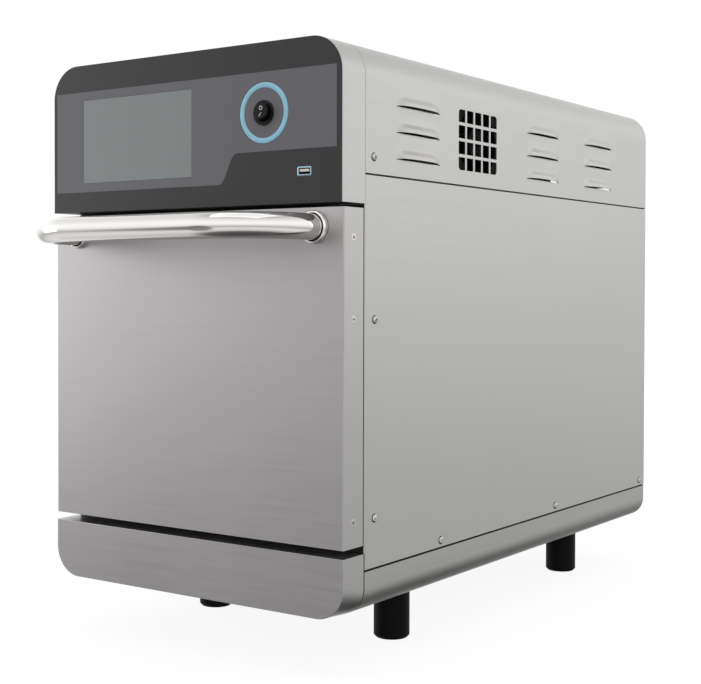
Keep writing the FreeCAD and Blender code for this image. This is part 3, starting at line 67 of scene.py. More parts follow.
PHOTO_WIDTH = 701
PHOTO_HEIGHT = 684
SENSOR_WIDTH = 36
FOCAL_PIXELS = 1326.24
AXIS_ROW = 310.27
CAMERA_PLACE = (0.8578, -1.2699, 0.3597)
CAMERA_YAW = math.radians(34.768)
CAMERA_PITCH = math.radians(1.039)
CAMERA_ROLL = math.radians(0.126)
CAMERA_REACH = (0.05, 60)


def make_camera():
    data = bpy.data.cameras.new("camera")
    data.sensor_width = SENSOR_WIDTH
    data.lens = FOCAL_PIXELS / PHOTO_WIDTH * SENSOR_WIDTH
    data.shift_y = (AXIS_ROW - PHOTO_HEIGHT / 2) / PHOTO_WIDTH
    data.clip_start, data.clip_end = CAMERA_REACH
    camera = placed("camera", data)
    turn = Matrix.Rotation(CAMERA_YAW, 3, "Z")
    turn = turn @ Matrix.Rotation(math.pi / 2 - CAMERA_PITCH, 3, "X")
    turn = turn @ Matrix.Rotation(CAMERA_ROLL, 3, "Z")
    camera.location = CAMERA_PLACE
    camera.rotation_euler = turn.to_euler()
    bpy.context.scene.camera = camera


# Node trees, wired one node after another

class Wiring:
    """The nodes and links of one tree."""

    def __init__(self, tree):
        self.nodes = tree.nodes
        self.links = tree.links

    def plug(self, value, socket):
        """Link a socket to another one, or set it to a plain value."""
        if isinstance(value, bpy.types.NodeSocket):
            self.links.new(value, socket)
        else:
            socket.default_value = value

    def add(self, kind, settings=(), **inputs):
        """A node with its settings made and its named inputs linked or set."""
        node = self.nodes.new(kind)
        for name, value in settings:
            setattr(node, name, value)
        for name, value in inputs.items():
            self.plug(value, node.inputs[name.replace("_", " ")])
        return node

    def fill(self, node, *values):
        """Link or set a node's first inputs in their order, and give its first output."""
        for value, socket in zip(values, node.inputs):
            self.plug(value, socket)
        return node.outputs[0]

    def span(self, value, low, high, to_low=0.0, to_high=1.0, smooth=False):
        shape = "SMOOTHSTEP" if smooth else "LINEAR"
        node = self.add("ShaderNodeMapRange", [("interpolation_type", shape)])
        return self.fill(node, value, low, high, to_low, to_high)

    def maths(self, operation, *values):
        return self.fill(self.add("ShaderNodeMath", [("operation", operation)]), *values)

    def mix(self, factor, first, second):
        """Colour between two colours, each a socket or a plain one."""
        node = self.add("ShaderNodeMix", [("data_type", "RGBA")])
        self.plug(factor, node.inputs[0])
        for index, colour in ((6, first), (7, second)):
            linked = isinstance(colour, bpy.types.NodeSocket)
            self.plug(colour if linked else (*colour[:3], 1), node.inputs[index])
        return node.outputs[2]


class Finish(Wiring):
    """A material round one Principled shader, with patterns in the object's own space."""

    def __init__(self, name, colour, metallic=0.0, roughness=0.5, **sockets):
        self.material = bpy.data.materials.new(name)
        self.material.use_nodes = True
        super().__init__(self.material.node_tree)
        self.shader = self.nodes["Principled BSDF"]
        self.colour = (*colour, 1)
        self.material.diffuse_color = self.colour
        sockets |= {"Base_Color": self.colour, "Metallic": metallic, "Roughness": roughness}
        for socket, value in sockets.items():
            self.shader.inputs[socket.replace("_", " ")].default_value = value
        self.place = self.add("ShaderNodeTexCoord").outputs["Object"]

    def noise(self, scale, detail=2.0, roughness=0.5, stretch=(1, 1, 1), distortion=0.0):
        """Noise with so many cells to the metre, stretched where a factor is under one."""
        sizes = {"Scale": scale, "Detail": detail, "Roughness": roughness, "Distortion": distortion}
        mapping = self.add("ShaderNodeMapping", Vector=self.place, Scale=stretch)
        return self.add("ShaderNodeTexNoise", Vector=mapping.outputs[0], **sizes).outputs["Fac"]

    def axes(self):
        return self.add("ShaderNodeSeparateXYZ", Vector=self.place).outputs

    def past(self, axis, side, level):
        """One where the place on an axis lies on a side of a level, and nothing elsewhere."""
        return self.maths(side, self.axes()["xyz".index(axis)], level)

    def paint(self, colour):
        self.links.new(colour, self.shader.inputs["Base Color"])

    def shades(self, factor, dark, light):
        """Colour between a darker and a lighter copy of the base colour."""
        scaled = [tuple(channel * share for channel in self.colour[:3]) for share in (dark, light)]
        self.paint(self.mix(factor, *scaled))

    def gloss(self, factor, low, high):
        self.links.new(self.span(factor, 0.3, 0.7, low, high), self.shader.inputs["Roughness"])

    def bump(self, height, strength, distance):
        node = self.add("ShaderNodeBump", Height=height, Strength=strength, Distance=distance)
        self.links.new(node.outputs["Normal"], self.shader.inputs["Normal"])

    def bare_steel(self, bare, printed):
        """Steel where bare is one, and the printed colour elsewhere."""
        self.paint(self.mix(bare, printed, BARE_STEEL))
        self.links.new(bare, self.shader.inputs["Metallic"])


# Finishes

BARE_STEEL = (0.46, 0.45, 0.45)
# Cells to the metre, detail, roughness, and the share of them that is left along the grain
GRAIN = (1500, 3, 0.6, 0.012)
STREAKS = (260, 2, 0.5, 0.03)


def brushed(name, colour, along, roughness=(0.3, 0.42), contrast=0.05, painted_light_zones=()):
    """Sheet steel with a fine grain along one axis, with painted highlights and painted shade in a flat
    colour past each plane of its zones.
    """
    finish = Finish(name, colour, 1.0, roughness[0])
    grain, streaks = (
        finish.noise(*size, tuple(squeeze if axis == along else 1.0 for axis in "xyz"))
        for *size, squeeze in (GRAIN, STREAKS)
    )
    clouds = finish.noise(5, 3, 0.55, distortion=0.4)
    blend = finish.maths("MULTIPLY_ADD", streaks, 0.35, finish.maths("MULTIPLY", grain, 0.35))
    blend = finish.maths("MULTIPLY_ADD", clouds, 0.3, blend)
    finish.shades(finish.span(blend, 0.3, 0.7), 1 - contrast, 1 + contrast)
    # Painted highlight and painted shade: a flat colour past each plane.
    for axis, side, level, painted_colour in painted_light_zones:
        steel = finish.shader.inputs["Base Color"].links[0].from_socket
        finish.paint(finish.mix(finish.past(axis, side, level), steel, painted_colour))
    finish.gloss(blend, *roughness)
    finish.bump(grain, 0.12, 0.03 * MM)
    return finish.material


def polished(name, colour, roughness=0.06, smears=0.05, metallic=1.0):
    """Bright metal with faint smears that only show in its reflections."""
    finish = Finish(name, colour, metallic, roughness)
    wipe = finish.noise(45, 4, 0.6, (0.35, 1, 1), 0.6)
    finish.shades(wipe, 0.97, 1.0)
    finish.gloss(wipe, roughness, roughness + smears)
    finish.bump(finish.noise(160, 1), 0.02, 0.05 * MM)
    return finish.material


def tinted_steel(name, colour, tint, roughness=(0.3, 0.45)):
    """Steel with heat tint in patches."""
    finish = Finish(name, colour, 1.0, roughness[0])
    patches = finish.span(finish.noise(28, 4, 0.6, distortion=0.8), 0.4, 0.65, smooth=True)
    finish.paint(finish.mix(patches, colour, tint))
    grain = finish.noise(900, 2)
    finish.gloss(grain, *roughness)
    finish.bump(grain, 0.1, 0.05 * MM)
    return finish.material


def moulded(name, colour, roughness=0.45, grain=0.25, scale=2200, **sockets):
    """Moulded plastic with a fine spark-eroded grain."""
    finish = Finish(name, colour, 0.0, roughness, **sockets)
    spark = finish.noise(scale, 2, 0.6)
    finish.shades(finish.noise(40, 2), 0.9, 1.08)
    finish.gloss(spark, roughness * 0.9, roughness * 1.12)
    finish.bump(spark, grain, 0.05 * MM)
    return finish.material


def painted(name, colour, roughness=0.4):
    """Powder paint with a slight orange peel."""
    finish = Finish(name, colour, 0.0, roughness)
    peel = finish.noise(700, 2, 0.5)
    finish.shades(finish.noise(30, 3), 0.92, 1.06)
    finish.gloss(peel, roughness * 0.9, roughness * 1.15)
    finish.bump(peel, 0.25, 0.08 * MM)
    return finish.material


def framed_paint():
    """Black paint that stops at the bare outer edge of the frame."""
    finish = Finish("frame_paint", (0.01, 0.009, 0.008), 0.0, 0.5, Specular_IOR_Level=0.25)
    width = finish.maths("ABSOLUTE", finish.axes()[0])
    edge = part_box("front_frame")[1].x - 0.2 * MM
    finish.bare_steel(finish.maths("GREATER_THAN", width, edge), finish.colour)
    peel = finish.noise(700, 2, 0.5)
    finish.gloss(peel, 0.42, 0.52)
    finish.bump(peel, 0.25, 0.08 * MM)
    return finish.material


FASCIA_DARK = (0.029, 0.0255, 0.0285)
FASCIA_LIGHT = (0.15, 0.147, 0.163)
FASCIA_WEAR = (0.07, 0.07, 0.07)
FASCIA_FILM = 0.9 * MM
FIELD_LEFT = 4.2 * MM
FIELD_RIGHT = 5.6 * MM
FIELD_TOP = 27.3 * MM
FIELD_LOW = 20.4 * MM
FIELD_LOW_RIGHT = 49.2 * MM
FIELD_STEP = (219.5 * MM, 248.5 * MM)


def printed_fascia():
    """Steel face under a thin dark overlay with a lighter field that steps up to the right."""
    low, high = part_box("control_fascia")
    finish = Finish("fascia_overlay", FASCIA_DARK, 0.0, 0.42, Specular_IOR_Level=0.3)
    x, _, z = finish.axes()
    share = finish.span(x, *(low.x + place for place in FIELD_STEP), smooth=True)
    edge = finish.span(share, 0.0, 1.0, low.z + FIELD_LOW, low.z + FIELD_LOW_RIGHT, True)
    inside = finish.maths("GREATER_THAN", z, edge)
    for axis, side, level in (
        ("z", "LESS_THAN", high.z - FIELD_TOP),
        ("x", "GREATER_THAN", low.x + FIELD_LEFT),
        ("x", "LESS_THAN", high.x - FIELD_RIGHT),
    ):
        inside = finish.maths("MULTIPLY", inside, finish.past(axis, side, level))
    tooth = finish.noise(1800, 2)
    tone = finish.span(finish.noise(25, 2), 0.2, 0.8, 0.0, 0.06)
    printed = finish.mix(tone, finish.mix(inside, FASCIA_DARK, FASCIA_LIGHT), FASCIA_WEAR)
    finish.bare_steel(finish.past("y", "GREATER_THAN", low.y + FASCIA_FILM), printed)
    finish.gloss(tooth, 0.38, 0.46)
    finish.bump(tooth, 0.12, 0.03 * MM)
    return finish.material


def dark_screen():
    """A switched-off display behind its pane."""
    coat = {"Coat_Weight": 0.12, "Coat_Roughness": 0.1}
    finish = Finish("screen_pane", (0.228, 0.254, 0.254), 0.0, 0.24, **coat)
    finish.shades(finish.noise(9, 2), 0.96, 1.04)
    finish.gloss(finish.noise(1200, 1), 0.2, 0.26)
    return finish.material


def light_ring():
    """Translucent light-blue plastic, unlit."""
    finish = Finish("ring_plastic", (0.325, 0.645, 0.81), 0.0, 0.35, Specular_IOR_Level=0.3)
    cloud = finish.noise(120, 2)
    finish.shades(cloud, 0.94, 1.06)
    finish.gloss(cloud, 0.26, 0.36)
    finish.bump(finish.noise(1500, 1), 0.1, 0.02 * MM)
    return finish.material


def circuit_board():
    """Green lacquered board with paler tracks."""
    finish = Finish("circuit_board", (0.02, 0.11, 0.05), 0.0, 0.35)
    tracks = finish.noise(160, 0, stretch=(1, 0.15, 1))
    finish.paint(finish.mix(finish.span(tracks, 0.5, 0.53), (0.015, 0.09, 0.04), (0.05, 0.2, 0.09)))
    finish.bump(tracks, 0.3, 0.05 * MM)
    return finish.material


def flaky(name, colour):
    """Mica board with pearly flakes."""
    finish = Finish(name, colour, 0.0, 0.4, Coat_Weight=0.2)
    flakes = finish.noise(260, 3, 0.7)
    finish.shades(finish.span(flakes, 0.35, 0.65), 0.85, 1.1)
    finish.gloss(flakes, 0.3, 0.55)
    finish.bump(flakes, 0.2, 0.05 * MM)
    return finish.material


def fibrous(name, colour):
    """Felted mineral fibre."""
    finish = Finish(name, colour, 0.0, 0.92, Sheen_Weight=0.25, Sheen_Roughness=0.6)
    strands = finish.noise(420, 5, 0.7, distortion=1.5)
    lumps = finish.noise(60, 3, 0.6)
    blend = finish.maths("MULTIPLY_ADD", lumps, 0.4, finish.maths("MULTIPLY", strands, 0.6))
    finish.shades(finish.span(blend, 0.3, 0.7), 0.72, 1.12)
    finish.bump(blend, 0.8, 0.4 * MM)
    return finish.material


def braided(name, colour, pitch):
    """Braided glass yarn: two crossing sets of slanted ribs."""
    finish = Finish(name, colour, 0.0, 0.9, Sheen_Weight=0.3, Sheen_Roughness=0.5)
    x, y, z = finish.axes()
    run = finish.maths("ADD", x, z)
    across = finish.maths("MULTIPLY", y, 1.6)
    ribs = []
    for sign in ("ADD", "SUBTRACT"):
        slant = finish.maths("MULTIPLY", finish.maths(sign, run, across), math.tau / pitch)
        ribs.append(finish.maths("SINE", slant))
    weave = finish.span(finish.maths("MULTIPLY", *ribs), -1, 1)
    frayed = finish.maths("MULTIPLY_ADD", finish.noise(900, 3), 0.3, weave)
    finish.shades(finish.span(frayed, 0.1, 1.1), 0.7, 1.1)
    finish.bump(frayed, 0.7, 0.35 * MM)
    return finish.material


# Painted highlight: the door's and the bezel's faces behind their front faces get a lighter copy of
# their steel.
SIDE_HIGHLIGHT_STEEL = (0.435, 0.431, 0.422)
# Painted shade: near-black bands on the bezel's back edge, on the tray's ledge behind the side panels
# and on the cover's lower edge stand for the shadow in their seams.
SEAM_SHADE_BLACK = (0.004, 0.004, 0.004)
SKIN_LOW, BEZEL_LOW = (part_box(node)[0] for node in ("door_outer_skin", "lower_bezel"))
DOOR_SIDE_HIGHLIGHT = ("y", "GREATER_THAN", SKIN_LOW.y + 0.7 * MM, SIDE_HIGHLIGHT_STEEL)
BEZEL_SIDE_HIGHLIGHT = ("y", "GREATER_THAN", BEZEL_LOW.y + 0.5 * MM, SIDE_HIGHLIGHT_STEEL)
BEZEL_SEAM_SHADE = ("y", "GREATER_THAN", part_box("lower_bezel")[1].y - 1.3 * MM, SEAM_SHADE_BLACK)
TRAY_SEAM_SHADE = ("z", "GREATER_THAN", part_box("side_panel_right")[0].z - 1.9 * MM, SEAM_SHADE_BLACK)
COVER_SEAM_SHADE = ("z", "LESS_THAN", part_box("top_cover")[0].z + 0.8 * MM, SEAM_SHADE_BLACK)
CASING = {"colour": (0.462, 0.458, 0.449), "roughness": (0.36, 0.48), "contrast": 0.03}
FRONT = {"colour": (0.402, 0.384, 0.393), "roughness": (0.34, 0.46), "contrast": 0.045}
CHROME = (0.8, 0.785, 0.765)
FINISHES = {
    "casing_steel": brushed("casing_steel", along="y", **CASING),
    "cover_steel": brushed("cover_steel", along="y", painted_light_zones=[COVER_SEAM_SHADE], **CASING),
    "rear_steel": brushed("rear_steel", along="x", **CASING),
    # Painted shade: the tray's steel is a darker copy of the casing steel, for its downward-turned
    # round.
    "tray_shaded_steel": brushed("tray_shaded_steel", (0.415, 0.41, 0.4), "y", (0.36, 0.48), painted_light_zones=[TRAY_SEAM_SHADE]),
    "front_steel": brushed("front_steel", along="x", painted_light_zones=[DOOR_SIDE_HIGHLIGHT], **FRONT),
    "bezel_steel": brushed("bezel_steel", along="x", painted_light_zones=[BEZEL_SIDE_HIGHLIGHT, BEZEL_SEAM_SHADE], **FRONT),
    "cavity_steel": brushed("cavity_steel", (0.42, 0.415, 0.41), "x", (0.28, 0.4), 0.06),
    "guide_aluminium": brushed("mill_aluminium", (0.68, 0.68, 0.69), "y", (0.3, 0.42), 0.03),
    "handle_chrome": polished("handle_chrome", CHROME, 0.05, 0.06, 0.88),
    "collar_chrome": polished("collar_chrome", CHROME, 0.05, 0.05),
    "socket_steel": polished("socket_plating", (0.3, 0.45, 0.55), 0.35, 0.05, 0.7),
    "screw_steel": polished("screw_steel", (0.54, 0.53, 0.51), 0.16),
    "rack_wire": polished("rack_chrome", (0.66, 0.66, 0.65), 0.14),
    "contact_gold": polished("contact_gold", (0.83, 0.6, 0.28), 0.2),
    "zinc_steel": tinted_steel("zinc_plate", (0.5, 0.5, 0.47), (0.56, 0.53, 0.42)),
    "catalyst_steel": tinted_steel("catalyst_foil", (0.36, 0.34, 0.3), (0.3, 0.22, 0.13)),
    "heater_dark": tinted_steel("heater_sheath", (0.12, 0.11, 0.105), (0.2, 0.13, 0.09), (0.5, 0.65)),
    "impeller_steel": tinted_steel("impeller_steel", (0.5, 0.5, 0.49), (0.46, 0.4, 0.3)),
    "switch_black": moulded(
        "switch_plastic", (0.005, 0.005, 0.006), 0.3, 0.04, 900, Specular_IOR_Level=0.14
    ),
    "socket_black": moulded("black_plastic", (0.004, 0.004, 0.004), 0.55, Specular_IOR_Level=0.1),
    "leg_black": moulded(
        "leg_plastic", (0.0015, 0.0015, 0.0017), 0.45, 0.12, 1200, Specular_IOR_Level=0.08
    ),
    # Painted shade: near black for the fan behind the grille, the socket's inside, the joints round the
    # handle collars and the rings round the screw heads.
    "hollow_shade_black": moulded("hollow_shade_black", (0.003, 0.003, 0.003), 0.6, 0.05, Specular_IOR_Level=0.05),
    "module_dark": moulded("module_plastic", (0.03, 0.03, 0.032), 0.4),
    "mark_white": moulded("mark_white", (0.6, 0.6, 0.58), 0.5, 0.02),
    "tongue_white": moulded("tongue_plastic", (0.8, 0.77, 0.7), 0.45, 0.02),
    "motor_grey": painted("motor_paint", (0.16, 0.165, 0.17)),
    # Painted shade: near-black rails, so that the seam in front of them shows dark.
    "rail_seam_shade": painted("rail_shade_paint", (0.012, 0.012, 0.012), 0.6),
    "frame_black": framed_paint(),
    "fascia_grey": printed_fascia(),
    "display_glass": dark_screen(),
    "ring_blue": light_ring(),
    "seal_grey": braided("seal_braid", (0.34, 0.33, 0.31), 2.2 * MM),
    "insulation_wool": fibrous("mineral_wool", (0.62, 0.58, 0.42)),
    "electronics": circuit_board(),
    "mica": flaky("mica_board", (0.55, 0.48, 0.34)),
}
# Finishes of nodes that differ from the one of their slot
NODE_FINISHES = {
    "rear_panel": "rear_steel",
    "base_tray": "tray_shaded_steel",
    # Painted shade: the rails behind the cover's seam are near black.
    "chassis_rails": "rail_seam_shade",
    # Painted shade: the fan behind the grille is near black.
    "cooling_fan_frame": "hollow_shade_black",
    "cooling_fan_rotor": "hollow_shade_black",
}


# Meshes

REPLACED = set()
ACROSS, DEEP, UP = (Vector(axis) for axis in ((1, 0, 0), (0, 1, 0), (0, 0, 1)))
TURNED_ROUND = {"x": (ACROSS, DEEP, UP), "y": (DEEP, UP, ACROSS), "z": (UP, ACROSS, DEEP)}


def soften(mesh, sharp):
    """Shade a mesh smooth up to a crease angle in degrees."""
    for face in mesh.polygons:
        face.use_smooth = True
    mesh.set_sharp_from_angle(angle=math.radians(sharp))
    return mesh


def merged(shape, name, sharp=32):
    """A clean mesh: doubles merged, faces turned outwards, smooth up to a crease angle."""
    bmesh.ops.remove_doubles(shape, verts=shape.verts, dist=0.001 * MM)
    bmesh.ops.recalc_face_normals(shape, faces=shape.faces)
    mesh = bpy.data.meshes.new(name)
    shape.to_mesh(mesh)
    shape.free()
    return soften(mesh, sharp)


def add_piece(name, mesh, finish, node=None, body=None):
    """An object for a mesh, riding on a body and standing for the node it replaces."""
    mesh.materials.clear()
    mesh.materials.append(FINISHES[finish])
    piece = placed(name, mesh)
    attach(piece, body or BODY_OF[node])
    if node:
        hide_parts(node)
        REPLACED.add(node)


def loft(shape, loops, closed=False, caps=(0, -1)):
    """Quads between loops of as many points each, closed into a ring or capped at its ends."""
    rings = [[shape.verts.new(point) for point in loop] for loop in loops]
    spans = list(zip(rings, rings[1:]))
    if closed:
        spans.append((rings[-1], rings[0]))
    for near, far in spans:
        for index in range(len(near)):
            shape.faces.new((near[index - 1], near[index], far[index], far[index - 1]))
    for end in () if closed else caps:
        shape.faces.new(rings[end])


def lofted(name, loops, closed=False, sharp=32, caps=(0, -1)):
    """One loft as a clean mesh."""
    shape = bmesh.new()
    loft(shape, loops, closed, caps)
    return merged(shape, name, sharp)


def add_loft(name, loops, finish, node, closed=False, sharp=32):
    add_piece(name, lofted(name, loops, closed, sharp), finish, node)


def circle(radius, steps):
    turns = [math.tau * step / steps for step in range(steps)]
    return [(radius * math.cos(turn), radius * math.sin(turn)) for turn in turns]


def quarter(steps):
    """Cosine and sine in even steps through a quarter turn."""
    turns = [math.pi / 2 * step / steps for step in range(steps + 1)]
    return [(math.cos(turn), math.sin(turn)) for turn in turns]


def turned(profile, centre, axis, steps):
    """Loops of a turned shape: (radius, place along the axis) points spun about an axis."""
    main, first, second = TURNED_ROUND[axis]
    return [
        [Vector(centre) + main * along + first * a + second * b for a, b in circle(radius, steps)]
        for radius, along in profile
    ]


def swept(path, level, section, closed=False):
    """Loops of a section carried along a path in one plane, whose normal is level."""
    first, last = (path[-1], path[0]) if closed else (path[0], path[-1])
    loops = []
    for behind, point, ahead in zip([first, *path], path, [*path[1:], last]):
        side = (ahead - behind).normalized().cross(level)
        loops.append([point + side * a + level * b for a, b in section])
    return loops


def corner_arc(before, here, after, radius):
    """The centre of the arc in a corner, and the spokes to its start and its end."""
    here = Vector(here)
    back, ahead = ((Vector(point) - here).normalized() for point in (before, after))
    half = back.angle(ahead) / 2
    centre = here + (back + ahead).normalized() * (radius / math.sin(half))
    reach = radius / math.tan(half)
    return centre, here + back * reach - centre, here + ahead * reach - centre


def eased(corners, radius, steps=4):
    """A closed outline of (a, b) corners, each rounded by a radius."""
    outline = []
    for index, corner in enumerate(corners):
        after = corners[(index + 1) % len(corners)]
        centre, start, end = corner_arc(corners[index - 1], corner, after, radius)
        turn = start.angle_signed(end)
        for step in range(steps + 1):
            spoke = start.copy()
            spoke.rotate(Matrix.Rotation(-turn * step / steps, 2))
            outline.append(tuple(centre + spoke))
    return outline


def bent_path(corners, radius, steps=24):
    """An open path through corner points in one plane, with an arc at each inner corner."""
    path = [Vector(corners[0])]
    for corner in zip(corners, corners[1:], corners[2:]):
        centre, start, end = corner_arc(*corner, radius)
        for step in range(steps + 1):
            path.append(centre + start.slerp(end, step / steps).normalized() * radius)
    path.append(Vector(corners[-1]))
    return path


def rectangle(low_a, high_a, low_b, high_b):
    return [(low_a, low_b), (high_a, low_b), (high_a, high_b), (low_a, high_b)]


def solid_boxes(node):
    """(lowest, highest) corners of each separate solid in a node."""
    shape = bmesh.new()
    shape.from_mesh(NODES[node].data)
    bmesh.ops.remove_doubles(shape, verts=shape.verts, dist=0.001 * MM)
    boxes = []
    seen = set()
    for start in shape.verts:
        if start in seen:
            continue
        island = [start]
        seen.add(start)
        for vertex in island:
            fresh = {edge.other_vert(vertex) for edge in vertex.link_edges} - seen
            island += fresh
            seen |= fresh
        places = list(zip(*(vertex.co for vertex in island)))
        boxes.append((Vector(map(min, places)), Vector(map(max, places))))
    shape.free()
    return boxes


# Geometry Nodes

class Growth(Wiring):
    """A node tree with named inputs that grows a mesh from points."""

    def __init__(self, name, **inputs):
        self.tree = bpy.data.node_groups.new(name, "GeometryNodeTree")
        super().__init__(self.tree)
        for way in ("INPUT", "OUTPUT"):
            self.tree.interface.new_socket("Geometry", in_out=way, socket_type="NodeSocketGeometry")
        for label, kind in inputs.items():
            self.tree.interface.new_socket(label, in_out="INPUT", socket_type=f"NodeSocket{kind}")
        self.given = self.add("NodeGroupInput").outputs
        self.result = self.add("NodeGroupOutput").inputs[0]


def scatter_tree():
    """Copies of a shape on points, each with the turn that its point carries."""
    growth = Growth("shapes_on_points", Shape="Object", Finish="Material")
    shape = growth.add("GeometryNodeObjectInfo", Object=growth.given["Shape"])
    turn = growth.add("GeometryNodeInputNamedAttribute", [("data_type", "FLOAT_VECTOR")], Name="facing")
    copies = growth.add(
        "GeometryNodeInstanceOnPoints",
        Points=growth.given["Geometry"],
        Instance=shape.outputs["Geometry"],
        Rotation=turn.outputs[0],
    )
    real = growth.add("GeometryNodeRealizeInstances", Geometry=copies.outputs[0])
    finish = {"Geometry": real.outputs[0], "Material": growth.given["Finish"]}
    growth.plug(growth.add("GeometryNodeSetMaterial", **finish).outputs[0], growth.result)
    return growth.tree


def softening_tree():
    """Drops stored normals and shades smooth up to an angle."""
    growth = Growth("soft_edges", Angle="Float")
    given = growth.given["Geometry"]
    bare = growth.add("GeometryNodeRemoveAttribute", Geometry=given, Name="custom_normal")
    smooth = growth.add("GeometryNodeSetShadeSmooth", Geometry=bare.outputs[0], Shade_Smooth=True)
    angle = growth.add("GeometryNodeInputMeshEdgeAngle").outputs["Unsigned Angle"]
    test = [("data_type", "FLOAT"), ("operation", "LESS_EQUAL")]
    under = growth.add("FunctionNodeCompare", test, A=angle, B=growth.given["Angle"])
    edges = {"Geometry": smooth.outputs[0], "Shade_Smooth": under.outputs[0]}
    edges = growth.add("GeometryNodeSetShadeSmooth", [("domain", "EDGE")], **edges)
    growth.plug(edges.outputs[0], growth.result)
    return growth.tree


SCATTER = scatter_tree()
SOFTENING = softening_tree()


def finished(carrier):
    """The plain mesh of an object with its modifiers applied, after which the object goes."""
    seen = bpy.context.evaluated_depsgraph_get()
    mesh = bpy.data.meshes.new_from_object(carrier.evaluated_get(seen))
    bpy.data.objects.remove(carrier)
    return mesh


def scattered(name, shape, finish, points, turns):
    """Copies of a shape at points, each with its turn, as one plain mesh."""
    seeds = bpy.data.meshes.new(name)
    seeds.from_pydata([tuple(point) for point in points], [], [])
    facing = seeds.attributes.new("facing", "FLOAT_VECTOR", "POINT")
    for place, turn in zip(facing.data, turns):
        place.vector = turn
    carrier = placed(name, seeds)
    modifier = carrier.modifiers.new("growth", "NODES")
    modifier.node_group = SCATTER
    given = {"Shape": shape, "Finish": FINISHES[finish]}
    for item in SCATTER.interface.items_tree:
        if item.name in given:
            modifier[item.identifier] = given[item.name]
    return finished(carrier)


# Casing

LOUVRE_BACKS = [back * MM for back in (50.9, 315.6, 463.8)]
LOUVRE_UPS = [up * MM for up in (16.5, 41.4, 66.3)]
LOUVRE_LENGTH = 80.6 * MM
LOUVRE_HEIGHT = 11 * MM
LOUVRE_REACH = 3.6 * MM
LOUVRE_TRIM = 0.05 * MM
LOUVRE_END = 15 * MM
LIP_LIFT = 2.1 * MM
SLIT_FOOT = 0.5 * MM
SLIT_SINK = 0.2 * MM
# How square the slit's arch is, and how the louvre falls back from its lip
LIP_ARCH = 0.28
LIP_FALL = 0.35
LIP_FLAT = 0.25
# Start, pitch, hole and count of the grille, along the cover and up it
GRILLE_ALONG = (167.5 * MM, 16.6 * MM, 13.3 * MM, 5)
GRILLE_RISE = (15.7 * MM, 16.1 * MM, 13 * MM, 4)
GRILLE_CORNER = 4 * MM
CORNER = 33 * MM
SKIN = 1.2 * MM
FLANGE = 14 * MM
SAME_LINE = 0.02 * MM
TOUCH = 0.001 * MM


def eased_step(value):
    value = min(max(value, 0.0), 1.0)
    return value * value * (3 - 2 * value)


def cover_outline(half, low, roof, inset):
    """The arched section, from the right foot over the roof to the left foot."""
    radius = CORNER - inset
    arc = [(half - CORNER + radius * a, roof - CORNER + radius * b) for a, b in quarter(14)]
    right = [(half - inset, low), *arc]
    return right + [(-x, z) for x, z in reversed(right)]


def louvre_at(back, up):
    """Outward bulge and lift of the sheet, in metres, at a place on the side."""
    for start in LOUVRE_BACKS:
        along = back - start
        if not -TOUCH <= along <= LOUVRE_LENGTH + TOUCH:
            continue
        ends = eased_step(along / LOUVRE_END) * eased_step((LOUVRE_LENGTH - along) / LOUVRE_END)
        arch = math.sin(math.pi * min(max(along / LOUVRE_LENGTH, 0), 1)) ** LIP_ARCH
        for rise in LOUVRE_UPS:
            if abs(up - rise) < TOUCH:
                return -SLIT_SINK * ends, SLIT_FOOT * arch
            lip = rise + LIP_LIFT
            if lip - TOUCH <= up <= rise + LOUVRE_HEIGHT:
                share = (up - lip) / (LOUVRE_HEIGHT - LIP_LIFT)
                bend = eased_step((share - LIP_FLAT) / (1 - LIP_FLAT))
                fall = 1 - LIP_FALL * share - (1 - LIP_FALL) * bend
                drop = -LIP_LIFT * (1 - arch) * (1 - share)
                return (LOUVRE_REACH - LOUVRE_TRIM) * ends * fall, drop
    return 0.0, 0.0


def in_slit(back, up):
    over = any(0 < back - start < LOUVRE_LENGTH for start in LOUVRE_BACKS)
    return over and any(0 < up - rise < LIP_LIFT for rise in LOUVRE_UPS)


def in_hole(place, start, pitch, hole, count):
    number, past = divmod(place - start, pitch)
    return 0 <= number < count and past < hole


def grille_lines(start, pitch, hole, count):
    lines = [start + pitch * number + offset for number in range(count) for offset in (0, hole)]
    return [*lines, lines[0] + GRILLE_CORNER, lines[-1] - GRILLE_CORNER]


def grille_ends(start, pitch, hole, count):
    """Both ends of a row of holes, each with the way into the row."""
    return (start, 1), (start + pitch * (count - 1) + hole, -1)


def nearest(lines, place):
    return min(range(len(lines)), key=lambda index: abs(lines[index] - place))


def set_apart(lines):
    """Lines in their order, without those that fall on the next one."""
    lines = sorted(lines)
    return [line for line, after in zip(lines, [*lines[1:], math.inf]) if after - line > SAME_LINE]


def cover_lines(length, wall):
    """Where the mesh of a side has its edges, along the cover and up it."""
    backs = {0.0, length, *grille_lines(*GRILLE_ALONG)}
    for start in LOUVRE_BACKS:
        for reach in (LOUVRE_END * step / 6 for step in range(7)):
            backs |= {start + reach, start + LOUVRE_LENGTH - reach}
        middle = LOUVRE_LENGTH - 2 * LOUVRE_END
        backs |= {start + LOUVRE_END + middle * step / 8 for step in range(1, 8)}
    ups = {0.0, wall, *grille_lines(*GRILLE_RISE)}
    for rise in LOUVRE_UPS:
        ups |= {rise - 1 * MM, rise}
        ups |= {rise + LIP_LIFT + (LOUVRE_HEIGHT - LIP_LIFT) * step / 9 for step in range(10)}
    return set_apart(backs), set_apart(ups)


